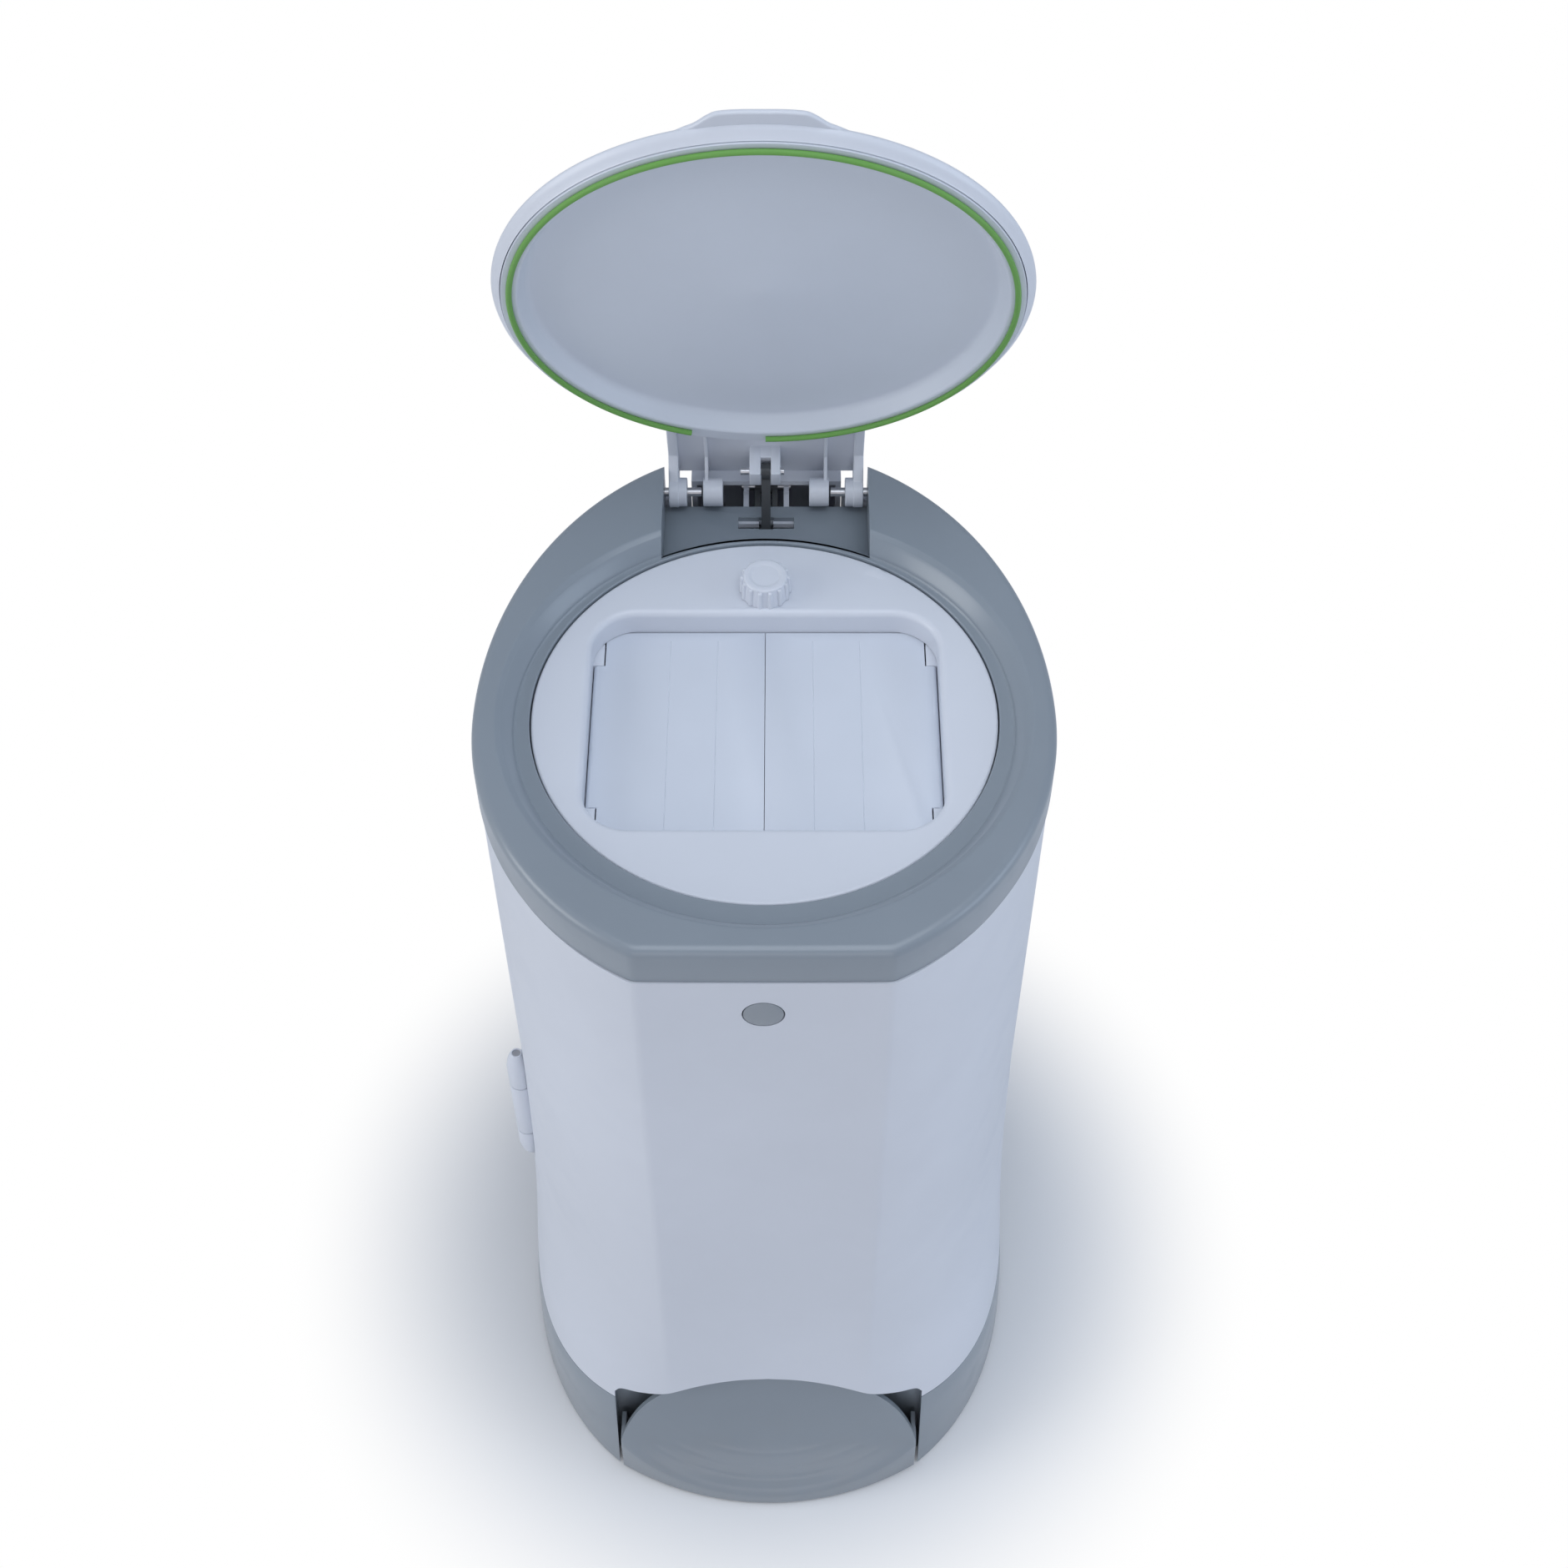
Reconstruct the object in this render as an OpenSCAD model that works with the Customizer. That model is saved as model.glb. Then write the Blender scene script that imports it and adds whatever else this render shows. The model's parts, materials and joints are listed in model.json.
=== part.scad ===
// Pedal nappy bin with a sealed round lid, a two-flap trap plate and a front door.
// Millimetres, +Z up, origin on the floor under the centre of the trap plate, front towards -Y.

/* [Body] */
// Height of the trap plate's top above the floor
plate_z = 570; // [540:1:600]
// How far the collar stands out over the body's side
collar_over = 1; // [0.5:0.5:1.5]
// Room between the plate's edge and the flat front
front_room = 37; // [34:1:40]
// Room between the plate's edge and the body's back
back_room = 64.5; // [62:0.5:68]
// Width of the flat front facet
facet_w = 125; // [110:1:135]
// Wall thickness of the body, base and door
wall = 3; // [2.5:0.1:3.5]
// How far behind the plate's centre the body is widest (negative is in front)
belly_y = -10; // [-14:1:-6]
// Height of the flare that joins body and base
flare_h = 300; // [260:5:330]
// Lean of the seam between base and body, in degrees
seam_tilt = 8.65; // [7:0.05:10]
// Height of that seam under the plate's centre
seam_z = 97; // [94:1:100]

/* [Base] */
// How far the base flares out at each side
flare_side = 12.5; // [9:0.5:16]
// How far the base flares out in front
flare_front = 33; // [31:1:36]
// How far the base flares out at the back
flare_back = 13.5; // [11.5:0.5:17]
// How far the front edge bows out between the corners
base_bow = 8; // [6:0.5:10]
// Gap between the base's rim and the floor
rim_gap = 2; // [1:0.5:3]
// Width of the base beside the pedal opening
arch_side_w = 62; // [60:1:65]
// Height of the pedal opening's straight sides
arch_side_z = 80; // [76:1:84]
// Height of the opening's crown
arch_z = 116; // [112:1:118]
// Diameter of a rubber foot
foot_d = 18; // [12:1:22]

/* [Collar] */
// Width of the collar's top beside the well
collar_side_w = 12.5; // [11:0.5:14]
// Collar height above the plate
collar_rise = 12; // [10:0.5:14]
// Collar depth below the plate
collar_drop = 12.4; // [12.2:0.1:14]
// Radius of the soft top edge
collar_round = 5; // [3:0.5:6]
// How far the well's wall leans out
well_lean = 8; // [7:0.25:9]
// Width of the well's floor round the plate
well_ring_w = 8; // [6:0.5:10]
// How far the well's floor stands above the plate
well_floor_rise = 1; // [0.5:0.5:2]
// How far the well's centre lies in front of the plate's
well_shift = 5; // [4:0.5:6]
// Width of the notch for the lid's hinge
notch_w = 113; // [112:0.5:114]
// Depth of the hinge deck below the plate
deck_drop = 14; // [13.5:0.5:15]

/* [Trap plate] */
// Diameter of the trap plate
plate_d = 240; // [200:1:280]
// Thickness of the plate
plate_t = 4; // [3:0.5:4.5]
// Width of the plate beside the recess
plate_side_w = 28.7; // [27:0.1:32]
// Width of the plate in front of the recess
plate_front_w = 46.7; // [44:0.1:50]
// Width of the plate behind the recess
plate_back_w = 50.4; // [50:0.1:54]
// Depth from the plate's top to the flaps
recess_depth = 15; // [14.5:0.5:16]
// Corner radius of the recess
recess_r = 24; // [18:1:28]
// Thickness of a flap
flap_t = 2.5; // [2:0.1:2.6]
// Diameter of a flap's hinge pin
flap_pin_d = 2.5; // [2:0.1:2.8]

/* [Knob] */
// Distance from the plate's edge to the knob
knob_inset = 34; // [32:0.5:34.5]
// Diameter at the knob's foot
knob_d = 28.6; // [24:0.2:30]
// Diameter at the knob's top
knob_top_d = 25.4; // [20:0.2:28]
// Height of the knob above the plate
knob_h = 12; // [9:0.5:13]
// Number of finger grooves
knob_grooves = 14; // [8:1:20]

/* [Lid] */
// Gap between the lid's rim and the well's top edge
lid_gap = 2; // [1.5:0.25:3]
// Rise of the lid's dome
dome_h = 36; // [28:1:38]
// Wall thickness of the lid
lid_wall = 2.5; // [2:0.1:3]
// Distance from the plate's edge out to the seal
seal_out = 5; // [3:0.25:6]
// Width of the seal
seal_w = 4; // [3:0.5:5]
// Depth of the dished inner panel behind its flange
dish_depth = 9; // [8.5:0.5:10]
// Angle the lid swings from shut to open, in degrees
lid_swing = 73.8; // [60:0.1:75]
// Distance from the plate's edge to the lid's hinge
hinge_room = 44; // [43.5:0.5:44.5]
// Depth of the hinge axis below the plate
hinge_drop = 3.5; // [3:0.1:4]
// Diameter of the lid's hinge pins
hinge_pin_d = 5; // [4:0.5:6]

/* [Door and latch] */
// Distance from the plate's centre to the door's side edges
door_edge = 36; // [34:1:40]
// Running gap round the door
door_gap = 0.6; // [0.5:0.1:1]
// Diameter of the door's hinge pin
door_pin_d = 5; // [4:0.5:6]
// Diameter of the door button
button_d = 20; // [16:0.5:22]
// Height of the button's centre below the plate
button_drop = 40; // [38:1:44]
// Stroke of the button
button_stroke = 3; // [2:0.5:3.5]

/* [Pedal and linkage] */
// Height of the pedal's axle above the floor
axle_z = 40; // [38:1:42]
// Distance from the plate's centre to the pedal's axle
axle_y = 20; // [15:1:25]
// Diameter of the pedal's axle
axle_d = 8; // [6:0.5:10]
// Diameter of the small linkage pins
link_pin_d = 4; // [3:0.5:4.5]
// Diameter of the push rod
rod_d = 6; // [4:0.5:7]
// Width of the lift strap
strap_w = 5; // [4:0.5:5]

/* [Clearances] */
// Radial clearance of a turning pin
run_gap = 0.05; // [0.02:0.01:0.1]
// Radial clearance of a fixed pin or screw
fix_gap = 0.02; // [0.01:0.01:0.05]
// Gap between pieces that sit inside each other
seat_gap = 0.3; // [0.2:0.05:0.4]
// Gap beside pieces that move past each other
move_gap = 0.8; // [0.6:0.1:1]
// Play at the two open pivots of the linkage
open_gap = 2; // [1.9:0.1:2.2]

/* [Hidden] */

$fn = 96;
overrun = 1;
far = 500;

// Colours
white = [0.93, 0.94, 0.96];
grey = [0.60, 0.64, 0.69];
dark_grey = [0.28, 0.30, 0.32];
steel = [0.72, 0.73, 0.75];
green = [0.45, 0.68, 0.30];
rubber = [0.12, 0.12, 0.13];

// Sizes that follow the plate's diameter, from the middle out
plate_r = plate_d / 2;
well_floor_d = plate_d + 2 * well_ring_w;
well_d = well_floor_d + 2 * well_lean;
collar_w = well_d + 2 * collar_side_w;
body_w = collar_w - 2 * collar_over;
body_front = plate_r + front_room;
body_back = plate_r + back_room;
base_w = body_w + 2 * flare_side;
base_front = body_front + flare_front;
base_back = body_back + flare_back;
arch_w = base_w - 2 * arch_side_w;
recess_w = plate_d - 2 * plate_side_w;
recess_front = plate_r - plate_front_w;
recess_back = plate_r - plate_back_w;
knob_y = plate_r - knob_inset;
lid_d = well_d - 2 * lid_gap;
seal_d = plate_d + 2 * seal_out;
hinge_y = plate_r + hinge_room;

// Levels
collar_top_z = plate_z + collar_rise;
collar_bottom_z = plate_z - collar_drop;
well_floor_z = plate_z + well_floor_rise;
deck_z = plate_z - deck_drop;
deck_t = 3;

// Outline of body and base, from the floor up: growth shares of the flare
flare_level_share = [0, 0.06, 0.14, 0.24, 0.33, 0.43, 0.55, 0.7, 1];
flare_side_share = [1, 0.93, 0.80, 0.60, 0.45, 0.34, 0.25, 0.15, 0];
flare_front_share = [1, 0.84, 0.58, 0.30, 0.17, 0.08, 0.03, 0, 0];
flare_corner_share = [0.25, 0.35, 0.6, 0.95, 0.9, 0.5, 0.15, 0, 0];
corner_power = 2;
corner_steps = 9;
back_steps = 12;

// Body
shell_level_z = [for (s = flare_level_share) s * flare_h];
jamb_w = 9;
jamb_inset = 3.5;
chamber_back_room = 6;
chamber_wall_y = plate_r + chamber_back_room;
chamber_corner_room = 48.5;
chamber_wall_w = body_w - 2 * chamber_corner_room;
chamber_floor_z = 135;
cover_w = 84;
cover_top_drop = 5;
cover_top_z = plate_z - cover_top_drop;
cover_inset = 1;
cover_back = base_back - cover_inset;
cover_front_gap = 10;
cover_low_z = 150;
cover_round = 9;
cover_screw_low_z = 180;
cover_screw_high_z = 500;
cover_screw_inset = 4;
cover_screw_x = cover_w / 2 - wall - cover_screw_inset;
cover_screw_len = 14;
screw_d = 4;
screw_head_d = 7.5;
screw_head_h = 2.2;
small_screw_d = 3;
small_head_d = 6.5;
small_head_h = 1.8;

// Collar
collar_back_over = 1.5;
collar_back = body_back + collar_back_over;
collar_front_step = 1;
collar_front = body_front - collar_front_step;
collar_bow = 0.3;
bore_gap = 0.6;
ledge_w = 2.5;
ledge_t = 2;
slot_bar_w = 31;
slot_bar_d = 4.6;
slot_stem_w = 8;
slot_stem_d = 9.5;
slot_from_hinge = 13.8;
slot_y = hinge_y - slot_from_hinge;
horn_grip = 6.5;
pocket_w = 54;
pocket_d = 4;
bag_flange_t = 2;
bag_flange_z = collar_bottom_z + ledge_t;
skirt_gap = 0.2;
skirt_low_z = bag_flange_z + bag_flange_t + skirt_gap;
cam_lift = 0.2;
cam_low_z = skirt_low_z + cam_lift;
deck_back_inset = 1;
deck_back_y = hinge_y - deck_back_inset;
deck_grip = 22;
deck_front_y = plate_r - deck_grip;
deck_side = 1.5;

// Trap plate and flaps
recess_wall = 3;
recess_lip = 2.2;
side_lip = 4.2;
plate_skirt = 3;
lip_round = 3.5;
flap_drop = 0.1;
flap_top_z = plate_z - recess_depth - flap_drop;
flap_barrel_r = 2.7;
flap_lug_r = flap_barrel_r;
flap_lug_inset = flap_lug_r / 10;
flap_lug_len = 15;
flap_axis_z = flap_top_z - flap_barrel_r;
flap_axis_x = recess_w / 2 - flap_barrel_r - seat_gap;
flap_lug_front = recess_r - recess_front - seat_gap;
flap_lug_back = recess_back - recess_r + seat_gap;
flap_pin_front = flap_lug_front - flap_lug_len + overrun;
flap_pin_back = flap_lug_back + flap_lug_len - overrun;
flap_side_gap = 0.7;
flap_split = 0.8;
flap_score_w = 0.8;
flap_score_d = 0.5;
flap_score_x_share = [0.285, 0.57];
flap_spring_len = 22;
flap_rib_t = 2;
flap_rib_h = 4;
flap_rib_inset = 6;
flap_skin = 0.7;
dimple_r = 22;
dimple_depth = 1.5;
dimple_ball_r = (dimple_r * dimple_r + dimple_depth * dimple_depth) / (2 * dimple_depth);
knob_groove_r = 1.7;
knob_shaft_d = 9;
cam_t = 3;
cam_bite = 2.5;
cam_reach = plate_d / 2 - knob_y + cam_bite;
cam_w = 8;
knob_screw_len = cam_t + screw_d;
bag_ring_h = 34;
bag_ring_t = 2;

// Lid, drawn shut and then swung open
seal_lift = 0.5;
seal_z = well_floor_z + seal_lift;
seal_t = 4.5;
flange_z = seal_z + seal_t;
rim_round = 2.5;
rim_over = 0.5;
rim_z = collar_top_z + rim_over;
rim_wall = 4.5;
// Points down the lid's rim, as shares of the rim wall and of the height down to the flange
rim_share = [[0, 0], [0.22, 0.31], [0.66, 0.62], [0.9, 0.8]];
panel_t = 2;
apron_w = 108;
apron_t = 3;
apron_tail = 4;
cheek_t = 5.5;
boss_r = 8.5;
boss_t = 6;
block_r = 8;
block_x = 24;
block_t = 11;
rib_x = 32;
rib_t = 2;
lug_left = 9;
lug_right = 8;
lug_front = 6.3;
lug_back = 6.3;
lug_below = 5.4;
tab_root = 70;
tab_reach = 7.5;
tab_t = 3;
seal_break_w = 40;
panel_shut_z = flange_z + dish_depth;
hinge_z = plate_z - hinge_drop;
pin_inner_x = 36;
cheek_rise = 7;
boss_x = 44;
strap_gap = 0.3;
clevis_left = 14;
clevis_right = 10;

// Linkage pivots, as offsets from the lid's hinge axis with the lid open
clevis_offset = [-1.9, 17.9];
strap_end_offset = [-25.6, -37];
rocker_offset = [16, -11];
clevis_at = [hinge_y + clevis_offset[0], hinge_z + clevis_offset[1]];
strap_end_at = [hinge_y + strap_end_offset[0], hinge_z + strap_end_offset[1]];
rocker_at = [hinge_y + rocker_offset[0], hinge_z + rocker_offset[1]];
axle_at = [-axle_y, axle_z];
lever_end_shift = 0.4;
lever_end_rise = 18;
lever_end_at = [strap_end_at[0] - lever_end_shift, axle_z + lever_end_rise];
strap_t = 2.5;
eye_wall = 2.5;
eye_r = link_pin_d / 2 + eye_wall;
open_eye_r = link_pin_d / 2 + open_gap + eye_wall;
rocker_t = 3;
rocker_hub_r = 4.3;
rocker_bar = 7;
rocker_pin_d = 5;
ear_t = 3;
ear_gap = 3.5;
rod_eye_t = 3;
ear_x = rocker_t * 2 + ear_gap + seat_gap;
bracket_w = 52;
bracket_reach = 30;
bracket_front_y = hinge_y - bracket_reach;
ear_reach = 8;
ear_front_y = hinge_y - ear_reach;
ear_low = 14;
ear_round_r = 4.3;
bracket_screw_x = 21;
bracket_screw_reach = 23;
bracket_screw_y = hinge_y - bracket_screw_reach;
bracket_screw_len = ear_t + deck_t * 0.75;
arm_x = strap_w / 2 + move_gap;
rod_x_mid = arm_x + rocker_t + move_gap + rod_eye_t / 2;

// Pedal
pedal_gap = 2.5;
pedal_t = 3.5;
pedal_side_t = 3;
pedal_floor_z = 8;
pedal_lip_z = 3;
pedal_crown_drop = 9;
pedal_side_z = 40;
pedal_crown_back = 7;
pedal_front_r = base_front;
pedal_front_cy = -7;
pedal_top_z = arch_z;
pedal_back_y = -body_front + pedal_crown_back;
pedal_base_z = 14;
// Points of the pedal's upper surface, as shares of its depth and of its height
pedal_curve_share = [[0, 1], [0.06, 0.86], [0.12, 0.70], [0.19, 0.53], [0.31, 0.36], [0.50, 0.21],
                     [0.75, 0.09], [1, 0.02]];
lever_w = 16;
lever_end_w = 10;
lever_h = 14;
lever_front_inset = 20;
lever_front_y = base_front - lever_front_inset;
lever_front_z = 19;
lever_neck_y = 100;
// Places of the pedal's screws, back and up from the lever's front end
pedal_screw_offset = [[6, 1], [15, 2.2]];
pedal_screw_at = [for (p = pedal_screw_offset) [p[0] - lever_front_y, p[1] + lever_front_z]];
hub_r = 10;
rib_gap = 0.2;
bearing_x = 30;
bearing_t = 10;
bearing_w = 24;
plate_floor_z = 4;
base_plate_t = 3;
post_r = 6;
// Insets of posts and feet from the base's side, front and back
post_side = [52, 56];
post_end = [128, 120];
post_places = [[base_w / 2 - post_side[0], post_end[0] - base_front],
               [base_w / 2 - post_side[1], base_back - post_end[1]]];
base_screw_len = 26;
foot_side = [40, 56];
foot_end = [102, 76];
foot_places = [[base_w / 2 - foot_side[0], foot_end[0] - base_front],
               [base_w / 2 - foot_side[1], base_back - foot_end[1]]];
cheek_depth = 70;
// Points of the pedal opening's top, as shares of its half width and of its rise over the sides
arch_share = [[1, 0], [0.95, 0.18], [0.82, 0.28], [0.67, 0.42], [0.43, 0.75], [0.21, 0.94], [0, 1]];
toe_room = 56;
toe_wall_y = base_front - toe_room;
toe_wall_rise = 2;
toe_slot_w = 28;
toe_slot_z = 62;

// Door
door_axis_out = 2;
door_axis = [-body_w / 2 - door_axis_out, -door_edge];
door_barrel_r = 7;
bump_z = 183;
// Room in the shell's edge for the flared door to turn
door_relief_r = flare_side * flare_side_share[4] - door_axis_out + 3.5 * door_gap;
door_relief_z = seam_z - door_edge * tan(seam_tilt) - overrun;
bump_h = 115;
knuckle_h = 53;
knuckle_shift = 1.5;
knuckle_mid_z = bump_z + bump_h / 2 - knuckle_shift;
bump_tip_r = 3.5;
bump_taper = 13;
button_z = plate_z - button_drop;
button_dome_r = 45;
button_proud = 1.2;
button_len = 7;
button_gap = 0.6;
stem_d = 7;
stem_len = 10;
housing_w = 32;
housing_depth = 23;
housing_low = 19;
housing_high = 20;
housing_wall = 3;
guide_t = 2;
guide_depth = 9;
tongue_w = 12;
tongue_t = 4;
tongue_gap = 1.5;
wedge_ratio = 1.5;
keeper_w = 20;
keeper_t = 2;
keeper_h = 7;
keeper_y = -body_front + wall + housing_depth - tongue_gap;

// Outline helpers: a flat front facet, rounded corners and an elliptic back
function side_curve(half, front, flat, power) =
    let (start = acos(pow(flat / half, power / 2)),
         reach = front / pow(sin(start), 2 / power))
    [for (i = [0:corner_steps])
        let (t = start * (1 - i / corner_steps))
        [half * pow(cos(t), 2 / power), belly_y - reach * pow(sin(t), 2 / power)]];
function back_curve(half, back) =
    [for (i = [1:back_steps])
        let (t = 90 * i / back_steps)
        [half * cos(t), belly_y + (back - belly_y) * sin(t)]];
function outline(half, front, back, flat, power, bow) =
    let (side = side_curve(half, front + belly_y, flat, power),
         back = back_curve(half, back),
         right = concat(side, back),
         count = len(right))
    concat(
        [[0, -front - bow], [flat / 2, -front - bow * 3 / 4]],
        right,
        [for (i = [2:count]) [-right[count - i][0], right[count - i][1]]],
        [[-flat / 2, -front - bow * 3 / 4]]);

function body_outline(level, inset) =
    outline(
        body_w / 2 + (base_w - body_w) / 2 * flare_side_share[level] - inset,
        body_front + (base_front - body_front) * flare_front_share[level] - inset,
        body_back + (base_back - body_back) * flare_side_share[level] - inset,
        facet_w / 2 - inset / 2,
        2 + corner_power / 2 * flare_corner_share[level],
        base_bow * flare_front_share[level]);

// Solid through a stack of outlines with equal point counts
module loft(rings, levels) {
    n = len(rings[0]);
    last = len(rings) - 1;
    points = [for (k = [0:last]) for (p = rings[k]) [p[0], p[1], levels[k]]];
    sides = [for (k = [0:last - 1]) for (i = [0:n - 1]) for (half = [0, 1])
        let (j = (i + 1) % n)
        half == 0 ? [k * n + i, (k + 1) * n + i, (k + 1) * n + j]
                  : [k * n + i, (k + 1) * n + j, k * n + j]];
    bottom = [[for (i = [0:n - 1]) i]];
    top = [[for (i = [0:n - 1]) last * n + n - 1 - i]];
    polyhedron(points = points, faces = concat(sides, bottom, top));
}

module body_solid(inset, extra) {
    last = len(flare_level_share) - 1;
    rings = [for (k = [0:last]) body_outline(k, inset)];
    straight = body_outline(last, inset);
    levels = [for (k = [0:last]) k == 0 ? -extra : shell_level_z[k]];
    loft(concat(rings, [straight]), concat(levels, [collar_bottom_z + extra]));
}

module body_skin() {
    difference() {
        body_solid(0, 0);
        body_solid(wall, overrun);
    }
}

module above_seam(gap) {
    translate([0, 0, seam_z + gap])
        rotate([seam_tilt, 0, 0])
            translate([-far, -far, 0])
                cube([2 * far, 2 * far, 2 * far]);
}

// All space in front of, or behind, the plane of the door's edges
module front_space(gap) {
    translate([-far, -2 * far - door_edge - gap, -overrun])
        cube([2 * far, 2 * far, 2 * far]);
}

module back_space(gap) {
    translate([-far, -door_edge + gap, -overrun])
        cube([2 * far, 2 * far, 2 * far]);
}

// Small shape helpers
module rod_x(d, from, to) {
    translate([from, 0, 0])
        rotate([0, 90, 0])
            cylinder(d = d, h = to - from);
}

module rod_y(d, from, to) {
    translate([0, to, 0])
        rotate([90, 0, 0])
            cylinder(d = d, h = to - from);
}

module tube(outer_d, inner_d, h) {
    difference() {
        cylinder(d = outer_d, h = h);
        translate([0, 0, -overrun])
            cylinder(d = inner_d, h = h + 2 * overrun);
    }
}

module slab(x, y, z) {
    translate([x[0], y[0], z[0]])
        cube([x[1] - x[0], y[1] - y[0], z[1] - z[0]]);
}

// Profile in the YZ plane, drawn as a 2-D shape and made thick along X
module side_plate(from, to) {
    translate([from, 0, 0])
        rotate([90, 0, 90])
            linear_extrude(to - from)
                children();
}

module at_pivot(place) {
    translate([0, place[0], place[1]])
        children();
}

module rounded_rect(half_w, front, back, r) {
    translate([-half_w + r, -front])
        square([2 * half_w - 2 * r, front + back]);
    translate([-half_w, -front + r])
        square([2 * half_w, front + back - 2 * r]);
    for (x = [-half_w + r, half_w - r], y = [-front + r, back - r])
        translate([x, y])
            circle(r);
}

// Flat link between two places in the YZ plane, with a round end wherever its radius isn't zero
module link_plate(a, b, bar, end_r, from, to) {
    d = b - a;
    side_plate(from, to) {
        translate(a)
            rotate(atan2(d[1], d[0]))
                translate([0, -bar / 2])
                    square([norm(d), bar]);
        if (end_r[0] > 0)
            translate(a)
                circle(end_r[0]);
        if (end_r[1] > 0)
            translate(b)
                circle(end_r[1]);
    }
}

module screw(length) {
    cylinder(d = screw_head_d, h = screw_head_h);
    translate([0, 0, -length])
        cylinder(d = screw_d, h = length + overrun);
}

// Body
module door_knuckle_zone(gap) {
    translate([door_axis[0], door_axis[1], knuckle_mid_z - knuckle_h / 2 - gap])
        cylinder(r = door_barrel_r + gap, h = knuckle_h + 2 * gap);
}

module shell_knuckle_zone(gap) {
    translate([door_axis[0], door_axis[1], bump_z - gap])
        difference() {
            cylinder(r = door_barrel_r + gap, h = bump_h + 2 * gap);
            translate([0, 0, knuckle_mid_z - knuckle_h / 2 - bump_z + gap])
                cylinder(r = far, h = knuckle_h);
        }
}

module bump() {
    translate([door_axis[0], door_axis[1], bump_z]) {
        cylinder(r1 = bump_tip_r, r2 = door_barrel_r, h = bump_taper);
        translate([0, 0, bump_taper])
            cylinder(r = door_barrel_r, h = bump_h - 2 * bump_taper);
        translate([0, 0, bump_h - bump_taper])
            cylinder(r1 = door_barrel_r, r2 = bump_tip_r, h = bump_taper);
    }
}

module door_relief() {
    translate([door_axis[0], door_axis[1], door_relief_z])
        cylinder(r = door_relief_r, h = bump_z - wall - door_relief_z);
}

module jamb(side) {
    x = side * (body_w / 2 - wall - jamb_w / 2 + overrun);
    slab([x - jamb_w / 2, x + jamb_w / 2],
         [-door_edge + door_gap / 2, -door_edge + door_gap / 2 + jamb_inset],
         [flare_h * flare_level_share[6], collar_bottom_z]);
}

module rear_window(gap) {
    slab([-cover_w / 2 - gap, cover_w / 2 + gap], [hinge_y, far],
         [cover_low_z - gap, collar_bottom_z + overrun]);
}

module body_shell() {
    color(white)
        difference() {
            union() {
                intersection() {
                    body_skin();
                    above_seam(0);
                    back_space(door_gap / 2);
                }
                jamb(1);
                jamb(-1);
                bump();
            }
            door_knuckle_zone(door_gap);
            door_relief();
            rear_window(seat_gap);
            translate([door_axis[0], door_axis[1], bump_z - overrun])
                cylinder(d = door_pin_d + 2 * fix_gap, h = bump_h + 2 * overrun);
        }
}

module chamber_wall() {
    color(white)
        slab([-chamber_wall_w / 2, chamber_wall_w / 2],
             [chamber_wall_y, chamber_wall_y + wall],
             [chamber_floor_z + wall, deck_z - deck_t - overrun]);
}

module chamber_floor() {
    inner = outline(body_w / 2 - wall - seat_gap, body_front - wall - move_gap,
                    chamber_wall_y + wall, facet_w / 2 - wall, 2, 0);
    color(grey)
        difference() {
            translate([0, 0, chamber_floor_z])
                linear_extrude(wall)
                    polygon(inner);
            for (p = post_places, side = [-1, 1])
                translate([side * p[0], p[1], chamber_floor_z - overrun])
                    cylinder(d = screw_d + 2 * fix_gap, h = wall + 2 * overrun);
        }
}

module cover_screw_places() {
    for (z = [cover_screw_low_z, cover_screw_high_z], side = [-1, 1])
        translate([side * cover_screw_x, cover_back, z])
            rotate([-90, 0, 0])
                children();
}

module rear_cover() {
    front = hinge_y + cover_front_gap;
    half = cover_w / 2;
    color(white)
        difference() {
            union() {
                difference() {
                    translate([0, 0, cover_low_z])
                        linear_extrude(cover_top_z - cover_low_z)
                            rounded_rect(half, 0, cover_back, cover_round);
                    translate([0, 0, cover_low_z + wall])
                        linear_extrude(cover_top_z - cover_low_z - 2 * wall)
                            rounded_rect(half - wall, 0, cover_back - wall, cover_round - wall);
                    slab([-far, far], [-far, front], [0, far * 2]);
                }
                for (side = [-1, 1], z = [cover_screw_low_z, cover_screw_high_z])
                    translate([side * cover_screw_x, 0, z])
                        rod_y(screw_d + 2 * wall,
                              cover_back - cover_screw_len - wall, cover_back - wall / 2);
            }
            cover_screw_places()
                translate([0, 0, -cover_screw_len])
                    cylinder(d = screw_d + 2 * fix_gap, h = cover_screw_len + overrun);
        }
}

module cover_screws() {
    color(steel)
        cover_screw_places()
            difference() {
                screw(cover_screw_len - screw_head_h);
                slab([-screw_head_d, screw_head_d], [-overrun / 2, overrun / 2],
                     [screw_head_h - overrun, screw_head_h + overrun]);
            }
}

// Collar
function collar_outline(inset) =
    outline(collar_w / 2 - inset, collar_front - inset, collar_back - inset,
            facet_w / 2 - inset / 4, 2, collar_bow);

module collar_solid() {
    edge_level_share = [0, 0.35, 0.7, 0.92, 1];
    edge_inset_share = [0, 0.08, 0.32, 0.68, 1];
    rings = concat([collar_outline(0)], [for (s = edge_inset_share) collar_outline(s * collar_round)]);
    levels = concat([collar_bottom_z],
                    [for (s = edge_level_share) collar_top_z - collar_round * (1 - s)]);
    loft(rings, levels);
}

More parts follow.
